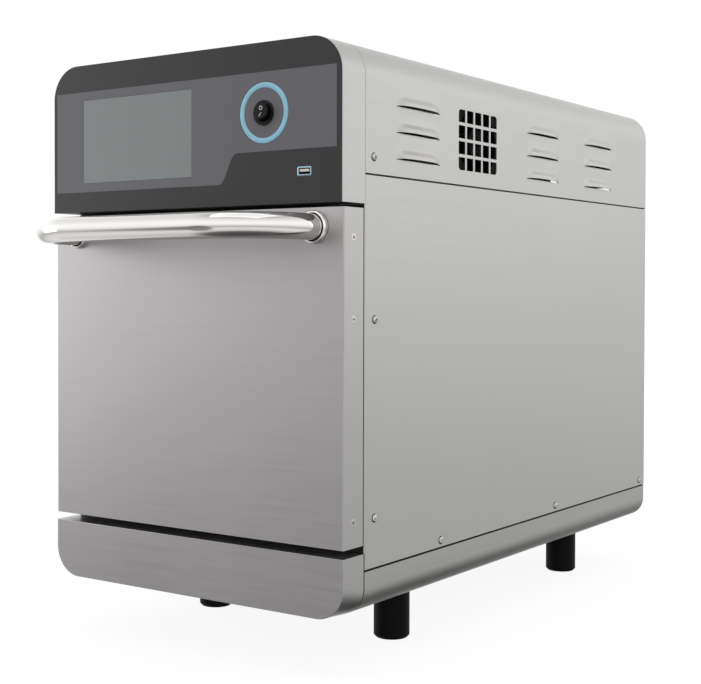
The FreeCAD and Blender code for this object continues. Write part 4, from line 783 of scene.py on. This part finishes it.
def round_grille(shape, rows, backs, ups):
    """Fill the four outermost corners of the grille up to an arc."""
    for back, along in grille_ends(*GRILLE_ALONG):
        for up, rise in grille_ends(*GRILLE_RISE):
            j, j_end = nearest(backs, back), nearest(backs, back + along * GRILLE_CORNER)
            i, i_end = nearest(ups, up), nearest(ups, up + rise * GRILLE_CORNER)
            level = [rows[i][k] for k in range(j, j_end + along, along)]
            upright = [rows[k][j] for k in range(i_end, i, -rise)]
            centre = level[-1].co + upright[0].co - level[0].co
            first, second = level[-1].co - centre, upright[0].co - centre
            arc = []
            for step in range(1, 6):
                spoke = first.slerp(second, step / 6).normalized()
                arc.append(shape.verts.new(centre + spoke * GRILLE_CORNER))
            shape.faces.new((*level, *arc, *upright))


def cover_side(shape, side, half, low, backs, ups):
    """One upright side with its louvres, and with the grille on the right."""
    rows = []
    for up in ups:
        places = [(back, *louvre_at(back, up)) for back in backs]
        row = [(side * (half + out), low.y + back, low.z + up + lift) for back, out, lift in places]
        rows.append([shape.verts.new(point) for point in row])
    for i, (up, up_next) in enumerate(zip(ups, ups[1:])):
        for j, (back, back_next) in enumerate(zip(backs, backs[1:])):
            back, rise = (back + back_next) / 2, (up + up_next) / 2
            in_grille = in_hole(back, *GRILLE_ALONG) and in_hole(rise, *GRILLE_RISE)
            if not in_slit(back, rise) and not (side > 0 and in_grille):
                shape.faces.new((rows[i][j], rows[i][j + 1], rows[i + 1][j + 1], rows[i + 1][j]))
    if side > 0:
        round_grille(shape, rows, backs, ups)


def thicken(shape, depth):
    """Turn a sheet's outside into a closed sheet by growing it inwards."""
    outer = list(shape.faces)
    shape.verts.ensure_lookup_table()
    shape.normal_update()
    inner = {vertex: shape.verts.new(vertex.co - vertex.normal * depth) for vertex in list(shape.verts)}
    rims = [edge for edge in shape.edges if len(edge.link_faces) == 1]
    for face in outer:
        shape.faces.new([inner[vertex] for vertex in reversed(face.verts)])
    for edge in rims:
        first, second = edge.verts
        shape.faces.new((first, second, inner[second], inner[first]))


def make_cover():
    """The sheet over roof and sides, with the edge turned inwards at the rear."""
    low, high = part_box("top_cover")
    half = high.x - LOUVRE_REACH
    backs, ups = cover_lines(high.y - low.y, high.z - CORNER - low.z)
    shape = bmesh.new()
    for side in (1, -1):
        cover_side(shape, side, half, low, backs, ups)
    arch = cover_outline(half, low.z, high.z, 0)[1:-1]
    roof = [[shape.verts.new((x, low.y + back, z)) for back in backs] for x, z in arch]
    for near, far in zip(roof, roof[1:]):
        for j in range(len(backs) - 1):
            shape.faces.new((near[j], near[j + 1], far[j + 1], far[j]))
    bmesh.ops.remove_doubles(shape, verts=shape.verts, dist=0.01 * MM)
    bmesh.ops.recalc_face_normals(shape, faces=shape.faces)
    right = [face for face in shape.faces if face.calc_center_median().x > half * 0.99]
    if sum(face.normal.x for face in right) < 0:
        bmesh.ops.reverse_faces(shape, faces=shape.faces)
    thicken(shape, SKIN)
    back = high.y - SKIN
    depths = (back - SKIN, back, back, back - SKIN)
    outer, inner = (cover_outline(half, low.z, high.z, inset) for inset in (SKIN, SKIN + FLANGE))
    corners = ((one, one, two, two) for one, two in zip(outer, inner))
    loft(shape, [[(a, y, b) for (a, b), y in zip(four, depths)] for four in corners])
    add_piece("cover", merged(shape, "cover", 28), "cover_steel", "top_cover")


BEZEL_CORNER = 30 * MM
TRAY_CORNER = 24 * MM
BEZEL_ROUND = 0.35 * MM


def make_bezel():
    """The box under the door, whose lower corners tighten from its face to the tray's."""
    low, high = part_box("lower_bezel")

    def section(place, corner, inset):
        half, foot, top = high.x - inset, low.z + inset, high.z - inset
        radius = corner - inset
        arc = [(half - radius + radius * a, foot + radius - radius * b) for a, b in quarter(14)]
        right = [(half, top), *arc]
        return [(x, place, z) for x, z in right + [(-x, z) for x, z in reversed(right)]]

    face, start = low.y, low.y + 2 * BEZEL_ROUND
    loops = [section(face, BEZEL_CORNER, 2 * BEZEL_ROUND)]
    for a, b in quarter(3):
        loops.append(section(face + BEZEL_ROUND * (1 - a), BEZEL_CORNER, BEZEL_ROUND * (1 - b)))
    for step in range(9):
        share = step / 8
        corner = BEZEL_CORNER + (TRAY_CORNER - BEZEL_CORNER) * eased_step(share)
        loops.append(section(start + (high.y - start) * share, corner, 0))
    loops += [section(high.y, TRAY_CORNER, SKIN), section(face + SKIN, BEZEL_CORNER, SKIN)]
    add_loft("bezel", loops, "bezel_steel", "lower_bezel", sharp=28)


# Door handle

HANDLE_BEND = 70 * MM
HANDLE_WALL = 1.5 * MM
COLLAR_BORE = 12.9 * MM
COLLAR_EDGE = 1.9 * MM
# The near-black ring that paints shade in the collars' joints: its bore, thickness and how far it stops
# behind the collar's face.
JOINT_BORE = 12.05 * MM
JOINT_THICK = 0.4 * MM
JOINT_SINK = 0.7 * MM


def make_handle():
    low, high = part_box("door_handle")
    radius, level = (high.z - low.z) / 2, (low.z + high.z) / 2
    ends, bar = high.x - radius, low.y + radius
    corners = [(ends, high.y, level), (ends, bar, level), (-ends, bar, level), (-ends, high.y, level)]
    path = bent_path(corners, HANDLE_BEND)
    skins = [swept(path, UP, circle(reach, 64)) for reach in (radius, radius - HANDLE_WALL)]
    add_loft("handle", [*skins[0], *reversed(skins[1])], "handle_chrome", "door_handle", True)

    low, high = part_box("handle_collars")
    radius = (high.z - low.z) / 2
    face = low.y - high.y
    collar = [(COLLAR_BORE, -JOINT_THICK), (radius, -JOINT_THICK)]
    for a, b in quarter(6):
        collar.append((radius - COLLAR_EDGE * (1 - a), face + COLLAR_EDGE * (1 - b)))
    collar += [(COLLAR_BORE + 0.2 * MM, face), (COLLAR_BORE, face + 0.2 * MM)]
    # Painted shade: a near-black ring behind each collar and a sleeve in its bore darken its joints
    # with the door and the tube.
    shade_seat, rim = 0.02 * MM - JOINT_THICK, COLLAR_BORE - 0.05 * MM
    joint_shade = [(JOINT_BORE, 0), (radius, 0), (radius, shade_seat), (rim, shade_seat)]
    joint_shade += [(rim, face + JOINT_SINK), (JOINT_BORE, face + JOINT_SINK)]
    for name, profile, finish, slot in (
        ("collars", collar, "collar_chrome", None),
        ("collar_joints", joint_shade, "hollow_shade_black", "socket_black"),
    ):
        shape = bmesh.new()
        for side in (1, -1):
            loft(shape, turned(profile, (side * ends, high.y, level), "y", 96), True)
        add_piece(name, merged(shape, name), finish, "handle_collars")


# Controls

RING_BORE = 23.1 * MM
RING_TRIM = 0.4 * MM
RING_EDGE = 0.35 * MM


def make_ring():
    low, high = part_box("indicator_ring")
    middle = (low + high) / 2
    outer, depth = (high.x - low.x) / 2 - RING_TRIM, high.y - low.y
    profile = []
    for radius, way in ((outer, -1), (RING_BORE, 1)):
        edge = [(0, depth), (0, RING_EDGE), (RING_EDGE * 0.3, RING_EDGE * 0.3), (RING_EDGE, 0)]
        profile += [(radius + way * inset, along) for inset, along in edge[::-way]]
    loops = turned(profile, (middle.x, low.y, middle.z), "y", 128)
    add_loft("ring", loops, "ring_blue", "indicator_ring", True)


ROCKER_RADIUS = 8 * MM
ROCKER_EDGE = 0.5 * MM
ROCKER_STEM = 8.1 * MM
ROCKER_TILT = math.radians(10)
ROCKER_SIDES = 96
# The face's place from the pivot, the radius of its dish, and the level it stays behind
ROCKER_FACE = -5.7 * MM
ROCKER_HOLLOW = 30 * MM
ROCKER_BED = -6.7 * MM
AXLE_RADIUS = 0.95 * MM
MARK_UP = 3.1 * MM
MARK_LAYERS = (-0.04 * MM, 0.1 * MM)
STROKE = (0.8 * MM, 4.2 * MM)
STROKE_LEAN = math.radians(28)


def rocker_face(up):
    """Place along Y of the dished face, from the pivot."""
    dish = ROCKER_FACE - ROCKER_HOLLOW + math.sqrt(ROCKER_HOLLOW**2 - up**2)
    return max(dish, ROCKER_BED)


def make_rocker():
    low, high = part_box("indicator_ring")
    pivot = (low + high) / 2
    pivot.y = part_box("control_fascia")[0].y + 0.4 * MM
    tilt = Matrix.Rotation(-ROCKER_TILT, 3, "X")

    def tilted(*loops):
        return [[pivot + tilt @ Vector(point) for point in loop] for loop in loops]

    flat = ROCKER_RADIUS - ROCKER_EDGE
    loops = []
    for share in (0.08, 0.2, 0.35, 0.5, 0.65, 0.8, 0.92, 1.0):
        loops.append([(x, rocker_face(z), z) for x, z in circle(flat * share, ROCKER_SIDES)])
    for a, b in quarter(4)[1:]:
        reach, sink = flat + ROCKER_EDGE * b, ROCKER_EDGE * (1 - a)
        edge = circle(reach, ROCKER_SIDES)
        loops.append([(x, rocker_face(z * flat / reach) + sink, z) for x, z in edge])
    for depth in (0, 1.5 * MM, 3 * MM, 4.2 * MM):
        reach = min(ROCKER_RADIUS, math.sqrt(ROCKER_STEM**2 - depth**2))
        loops.append([(x, depth, z) for x, z in circle(reach, ROCKER_SIDES)])
    shape = bmesh.new()
    loft(shape, tilted(*loops))
    for side in (1, -1):
        axle = [(AXLE_RADIUS, along * side) for along in (7.5 * MM, 9.1 * MM)]
        loft(shape, turned(axle, pivot, "x", 20))
    add_piece("rocker", merged(shape, "rocker"), "switch_black", "power_switch_rocker")

    def layers(outline):
        return [[(x, rocker_face(z) + sink, z) for x, z in outline] for sink in MARK_LAYERS]

    marks = bmesh.new()
    outer, inner = (
        layers([(x, MARK_UP + z) for x, z in circle(radius, 40)]) for radius in (2 * MM, 1.25 * MM)
    )
    loft(marks, tilted(outer[0], inner[0], inner[1], outer[1]), True)
    wide, long = (size / 2 for size in STROKE)
    lean = Matrix.Rotation(-STROKE_LEAN, 2)
    stroke = [lean @ Vector(point) for point in eased(rectangle(-wide, wide, -long, long), 0.38 * MM)]
    loft(marks, tilted(*layers([(x, z - MARK_UP) for x, z in stroke])))
    mesh = merged(marks, "switch_marks")
    add_piece("switch_marks", mesh, "mark_white", body="power_rocker")


# How deep the socket's bright rim goes, how thick its wall is, and the rim's steps, each with
# inset, corner radius and depth, in millimetres
USB_LIP = 1.6
USB_WALL = 1.8
USB_FRAME = [
    (0.01, 1.3, USB_LIP),
    (0.01, 1.3, 0.5),
    (0.15, 1.2, 0.15),
    (0.5, 1.0, 0),
    (1.45, 0.6, 0),
    (1.75, 0.5, 0.3),
    (USB_WALL, 0.4, USB_LIP),
]
TONGUE_HALF = 5.3 * MM
TONGUE_TALL = 2.3 * MM
TONGUE_DROP = 0.9 * MM
TONGUE_EDGE = 0.3 * MM
CONTACT_PLACES = (-3.5 * MM, -1.1 * MM, 1.1 * MM, 3.5 * MM)
CONTACT_SIZE = (-0.6 * MM, 0.6 * MM, -0.7 * MM, 0.08 * MM)


def make_usb():
    low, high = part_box("usb_socket")
    middle, size = (low + high) / 2, (high - low) / 2
    deep = (high.y - low.y) / MM

    def mouths(steps):
        loops = []
        for inset, radius, depth in steps:
            a, b = size.x - inset * MM, size.z - inset * MM
            outline = eased(rectangle(-a, a, -b, b), radius * MM, 5)
            loops.append([(middle.x + x, low.y + depth * MM, middle.z + z) for x, z in outline])
        return loops

    add_loft("usb_frame", mouths(USB_FRAME), "socket_steel", "usb_socket", True)
    # Painted shade: the shell inside the bright rim is near black.
    back = [(0.01, 1.3, deep), (0.01, 1.3, USB_LIP)]
    back += [(USB_WALL, 0.4, USB_LIP), (USB_WALL, 0.4, deep - USB_WALL)]
    add_loft("usb_shell", mouths(back), "hollow_shade_black", "usb_socket")

    top = middle.z + size.z - USB_WALL * MM - TONGUE_DROP
    start, end = low.y + 0.3 * MM, high.y - USB_WALL * MM / 2
    loops = []
    for inset, place in ((TONGUE_EDGE, start), (0, start + TONGUE_EDGE), (0, end)):
        half = TONGUE_HALF - inset
        outline = eased(rectangle(-half, half, inset - TONGUE_TALL, -inset), 0.3 * MM, 3)
        loops.append([(middle.x + x, place, top + z) for x, z in outline])
    add_loft("usb_tongue", loops, "tongue_white", "usb_socket")
    shape = bmesh.new()
    outline = eased(rectangle(*CONTACT_SIZE), 0.05 * MM, 2)
    for across in CONTACT_PLACES:
        ends = (start - 0.05 * MM, end - 0.2 * MM)
        loft(shape, [[(middle.x + across + x, y, top + z) for x, z in outline] for y in ends])
    add_piece("usb_contacts", merged(shape, "usb_contacts"), "contact_gold", "usb_socket")


# Screws

SCREW_RADIUS = 3.6 * MM
SCREW_BAND = 0.5 * MM
SCREW_DOME = 1.65 * MM
SCREW_PROUD = 2.2 * MM
SUNK_RADIUS = 3.55 * MM
# Outer radius of the painted shade ring round each domed head.
SHADE_RING_RADIUS = 4.1 * MM
SCREW_SIDES = 96
# How far the first cross recess is turned, and how much more each next one, in radians
FIRST_ROLL = 0.7
NEXT_ROLL = 1.9


def screw_shape(name, profile, rim, recess, arm):
    """A head round Z with a cross recess, so deep and so wide in half, that ends at a rim."""
    loops = []
    for radius, height in profile:
        loop = []
        for x, y in circle(radius, SCREW_SIDES):
            cross = max(eased_step((arm - abs(side)) / (0.25 * MM)) for side in (x, y))
            depth = recess * cross * eased_step((rim - radius) / (0.35 * rim))
            loop.append((x, y, height - depth))
        loops.append(loop)
    return placed(name, lofted(name, loops, sharp=40))


def make_screws():
    dome = [(2 * MM, -6 * MM), (2 * MM, 0), (SCREW_RADIUS, 0), (SCREW_RADIUS, SCREW_BAND)]
    for share in (0.97, 0.9, 0.8, 0.7, 0.6, 0.5, 0.4, 0.3, 0.2, 0.12, 0.05):
        dome.append((SCREW_RADIUS * share, SCREW_BAND + SCREW_DOME * math.sqrt(1 - share**2)))
    head = screw_shape("screw_head", dome, rim=2.7 * MM, recess=1.4 * MM, arm=0.65 * MM)
    flush = [(2 * MM, -5 * MM), (2 * MM, -2.4 * MM), (SUNK_RADIUS, -0.25 * MM), (3.5 * MM, -0.08 * MM)]
    for share in (0.95, 0.8, 0.65, 0.5, 0.4, 0.3, 0.2, 0.1, 0.04):
        flush.append((SUNK_RADIUS * share, -0.02 * MM))
    sunk = screw_shape("screw_sunk", flush, rim=1.9 * MM, recess=1.9 * MM, arm=0.5 * MM)
    # Painted shade: a thin near-black ring round each domed head stands for its shadow on the casing.
    rim = turned(rectangle(SUNK_RADIUS, SHADE_RING_RADIUS, 0, 0.12 * MM), (0, 0, 0), "z", 48)
    shade_seat = placed("screw_seat", lofted("screw_seat", rim, True))
    for node, shape in (("casing_screws", head), ("rear_screws", head), ("door_side_screws", sunk)):
        points = []
        turns = []
        for index, (low, high) in enumerate(solid_boxes(node)):
            point = (low + high) / 2
            facing = DEEP if node == "rear_screws" else ACROSS * math.copysign(1, point.x)
            reach = abs((high - low).dot(facing)) / 2
            point += facing * (reach - (SCREW_PROUD if shape is head else 0))
            roll = Matrix.Rotation(FIRST_ROLL + NEXT_ROLL * index, 3, "Z")
            points.append(point)
            turns.append((facing.to_track_quat("Z", "Y").to_matrix() @ roll).to_euler())
        mesh = scattered(node + "_grown", shape, "screw_steel", points, turns)
        add_piece(node + "_set", soften(mesh, 40), "screw_steel", node)
        if shape is head:
            # Painted shade rings under the domed heads.
            mesh = scattered(node + "_seats", shade_seat, "hollow_shade_black", points, turns)
            add_piece(node + "_seats", mesh, "hollow_shade_black", node)
    for shape in (head, sunk, shade_seat):
        bpy.data.objects.remove(shape)


# Inside

RACK_FRAME = 3 * MM
RACK_WIRE = 1.5 * MM
RACK_WIRES = 14
WIRE_END = 0.6 * MM
SEAL_HALF = 4 * MM


def make_rack():
    low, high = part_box("wire_rack")
    x, front, back = high.x - RACK_FRAME, low.y + RACK_FRAME, high.y - RACK_FRAME
    outline = eased(rectangle(-x, x, front, back), 8 * MM, 10)
    path = [Vector((a, b, low.z + RACK_FRAME)) for a, b in outline]
    loops = swept(path, UP, circle(RACK_FRAME, 24), True)
    add_loft("rack_frame", loops, "rack_wire", "wire_rack", True)
    half = (back - front) / 2
    profile = [(WIRE_END, -half), (RACK_WIRE, WIRE_END - half)]
    profile += [(radius, -along) for radius, along in reversed(profile)]
    wire = placed("wire", lofted("wire", turned(profile, (0, 0, 0), "y", 16)))
    shares = [(number + 1) / (RACK_WIRES + 1) - 0.5 for number in range(RACK_WIRES)]
    points = [(share * 2 * x, (front + back) / 2, high.z - RACK_WIRE) for share in shares]
    mesh = scattered("rack_wires", wire, "rack_wire", points, [(0, 0, 0)] * RACK_WIRES)
    add_piece("rack_wires", soften(mesh, 40), "rack_wire", "wire_rack")
    bpy.data.objects.remove(wire)


def make_seal():
    low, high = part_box("door_seal")
    deep = (high.y - low.y) / 2
    sides = (low.x + SEAL_HALF, high.x - SEAL_HALF, low.z + SEAL_HALF, high.z - SEAL_HALF)
    path = [Vector((a, low.y + deep, b)) for a, b in eased(rectangle(*sides), 6 * MM, 8)]
    section = [(a * SEAL_HALF / deep, b) for a, b in circle(deep, 24)]
    add_loft("seal", swept(path, DEEP, section, True), "seal_grey", "door_seal", True)


# Lumps to the metre, how far the wool falls back from its block, and how unevenly
WOOL_LUMPS = 60
WOOL_SINK = 0.3 * MM
WOOL_UNEVEN = 0.9 * MM


def make_wool(node, cell):
    """A soft block with rounded, slightly uneven faces in place of a plain one."""
    carrier = placed(node + "_wool", NODES[node].data.copy())
    remesh = carrier.modifiers.new("remesh", "REMESH")
    remesh.mode = "VOXEL"
    remesh.voxel_size = cell
    shape = bmesh.new()
    shape.from_mesh(finished(carrier))
    shape.normal_update()
    for vertex in shape.verts:
        lump = 0.5 + 0.5 * noise.noise(vertex.co * WOOL_LUMPS)
        vertex.co -= vertex.normal * (WOOL_SINK + WOOL_UNEVEN * lump)
    add_piece(node + "_soft", merged(shape, node + "_soft", 180), "insulation_wool", node)


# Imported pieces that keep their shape

LEGS = [f"leg_{end}_{side}" for end in ("front", "rear") for side in ("left", "right")]
# Bevels in millimetres
BEVELS = {
    "control_fascia": 0.7,
    "door_outer_skin": 0.4,
    "power_switch_housing": 0.4,
    "base_tray": 0.15,
    "side_panel_right": 0.12,
    "side_panel_left": 0.12,
    "control_head_shell": 0.15,
    "front_frame": 0.3,
    "rear_panel": 0.3,
    "motor_shaft": 0.4,
    "high_voltage_transformer": 0.6,
    "cable_gland": 0.5,
    **dict.fromkeys(LEGS, 0.8),
}


def dress(node):
    """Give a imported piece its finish, and soften its edges where they show."""
    piece = NODES[node]
    piece.material_slots[0].material = FINISHES[NODE_FINISHES.get(node, SLOT_OF[node])]
    if node not in BEVELS:
        return
    weld = piece.modifiers.new("weld", "WELD")
    weld.merge_threshold = 0.002 * MM
    bevel = piece.modifiers.new("bevel", "BEVEL")
    bevel.width = BEVELS[node] * MM
    bevel.segments = 3
    bevel.limit_method = "ANGLE"
    bevel.angle_limit = math.radians(40)
    soft = piece.modifiers.new("soften", "NODES")
    soft.node_group = SOFTENING
    angle = next(item.identifier for item in SOFTENING.interface.items_tree if item.name == "Angle")
    soft[angle] = math.radians(32)
    flat = piece.modifiers.new("flat_faces", "WEIGHTED_NORMAL")
    flat.keep_sharp = True
    flat.weight = 100


# Studio

# Brightness of the room seen in the metal, from straight down to straight up
ROOM_STOPS = [
    (0.0, 0.05), (0.06, 0.12), (0.13, 0.7), (0.2, 0.95), (0.29, 0.85), (0.35, 0.6), (0.4, 0.62),
    (0.44, 0.85), (0.5, 1.06), (0.56, 1.22), (0.711, 1.25), (0.9, 0.8), (1.0, 0.3),
]
ROOM_WARMTH = 0.992
# Darker spots of the room: low in front for the foot of the door, low behind for the tray.
# Each has a direction, the cosines at its rim and its core, and the level at its core.
DARK_SPOTS = [
    ((-0.42, -0.77, -0.38), 0.92, 0.975, 0.3),
    ((0.2, 0.64, -0.75), 0.84, 0.96, 0.03),
]
WHITE = (1, 1, 1, 1)
FLOOR_GREY = (0.1, 0.1, 0.1)
FLOOR_GLOW = 0.91
FLOOR_FADE = (0.5, 1.6)


def make_world():
    """White to the camera, a soft grey room in reflections and an even light on matt faces."""
    world = bpy.data.worlds.new("studio")
    bpy.context.scene.world = world
    world.use_nodes = True
    wiring = Wiring(world.node_tree)
    wiring.nodes.clear()
    towards = wiring.add("ShaderNodeTexCoord").outputs["Generated"]
    height = wiring.add("ShaderNodeSeparateXYZ", Vector=towards).outputs["Z"]
    ramp = wiring.add("ShaderNodeValToRGB")
    wiring.plug(wiring.span(height, -1, 1), ramp.inputs[0])
    stops = ramp.color_ramp.elements
    stops[0].position, stops[1].position = ROOM_STOPS[0][0], ROOM_STOPS[-1][0]
    for place, _ in ROOM_STOPS[1:-1]:
        stops.new(place)
    for stop, (_, level) in zip(stops, ROOM_STOPS):
        stop.color = (level, level, level * ROOM_WARMTH, 1)
    strength = 1.0
    for centre, rim, core, level in DARK_SPOTS:
        cosine = wiring.add("ShaderNodeVectorMath", [("operation", "DOT_PRODUCT")])
        wiring.fill(cosine, towards, Vector(centre).normalized())
        shade = wiring.span(cosine.outputs["Value"], rim, core, 1.0, level, True)
        strength = wiring.maths("MULTIPLY", shade, strength)
    rays = wiring.add("ShaderNodeLightPath").outputs
    surface = wiring.add("ShaderNodeBackground", Color=WHITE, Strength=1.0).outputs[0]
    for colour, level, seen_by in (
        (ramp.outputs[0], strength, "Is Glossy Ray"),
        (WHITE, 1.0, "Is Transmission Ray"),
        (WHITE, 1.0, "Is Camera Ray"),
    ):
        light = wiring.add("ShaderNodeBackground", Color=colour, Strength=level).outputs[0]
        surface = wiring.fill(wiring.add("ShaderNodeMixShader"), rays[seen_by], surface, light)
    wiring.add("ShaderNodeOutputWorld", Surface=surface)


def make_floor():
    """A pale floor that fades into the white background and takes a soft contact shadow."""
    profile = [(reach, -0.02 * MM) for reach in (0.5, 2, 8, 30)]
    mesh = lofted("floor", turned(profile, (0, 0, 0), "z", 96), caps=[0])
    finish = Finish("floor_paper", FLOOR_GREY, 0.0, 0.8, Specular_IOR_Level=0.0)
    x, y, _ = finish.axes()
    squares = [finish.maths("POWER", axis, 2.0) for axis in (x, y)]
    away = finish.maths("SQRT", finish.maths("ADD", *squares))
    rays = finish.add("ShaderNodeLightPath").outputs
    fade = finish.span(away, *FLOOR_FADE, FLOOR_GLOW, 1.0, True)
    glow = finish.maths("MULTIPLY", fade, rays["Is Camera Ray"])
    white = finish.add("ShaderNodeEmission", Strength=glow).outputs[0]
    both = finish.fill(finish.add("ShaderNodeAddShader"), finish.shader.outputs[0], white)
    finish.plug(both, finish.nodes["Material Output"].inputs["Surface"])
    mesh.materials.append(finish.material)
    floor = placed("floor", mesh)
    floor.visible_glossy = False


def make_light(name, place, size, power):
    data = bpy.data.lights.new(name, "AREA")
    data.size = size
    data.energy = power
    light = placed(name, data)
    light.location = place
    light.rotation_euler = (Vector((0, 0, 0.3)) - light.location).to_track_quat("-Z", "Y").to_euler()


make_camera()
make_world()
make_floor()
make_light("key_left", (-2.9, -1.5, 0.6), 1.6, 17)
make_light("fill_right", (2.0, 2.2, 1.1), 1.6, 3)
make_light("top", (0.1, -0.4, 2.6), 2.0, 10)
make_cover()
make_bezel()
make_handle()
make_ring()
make_rocker()
make_usb()
make_screws()
make_rack()
make_seal()
make_wool("cavity_insulation", 6 * MM)
make_wool("door_insulation_pad", 4 * MM)
for node in NODES:
    if node not in REPLACED:
        dress(node)
bpy.context.scene.view_settings.view_transform = "Standard"
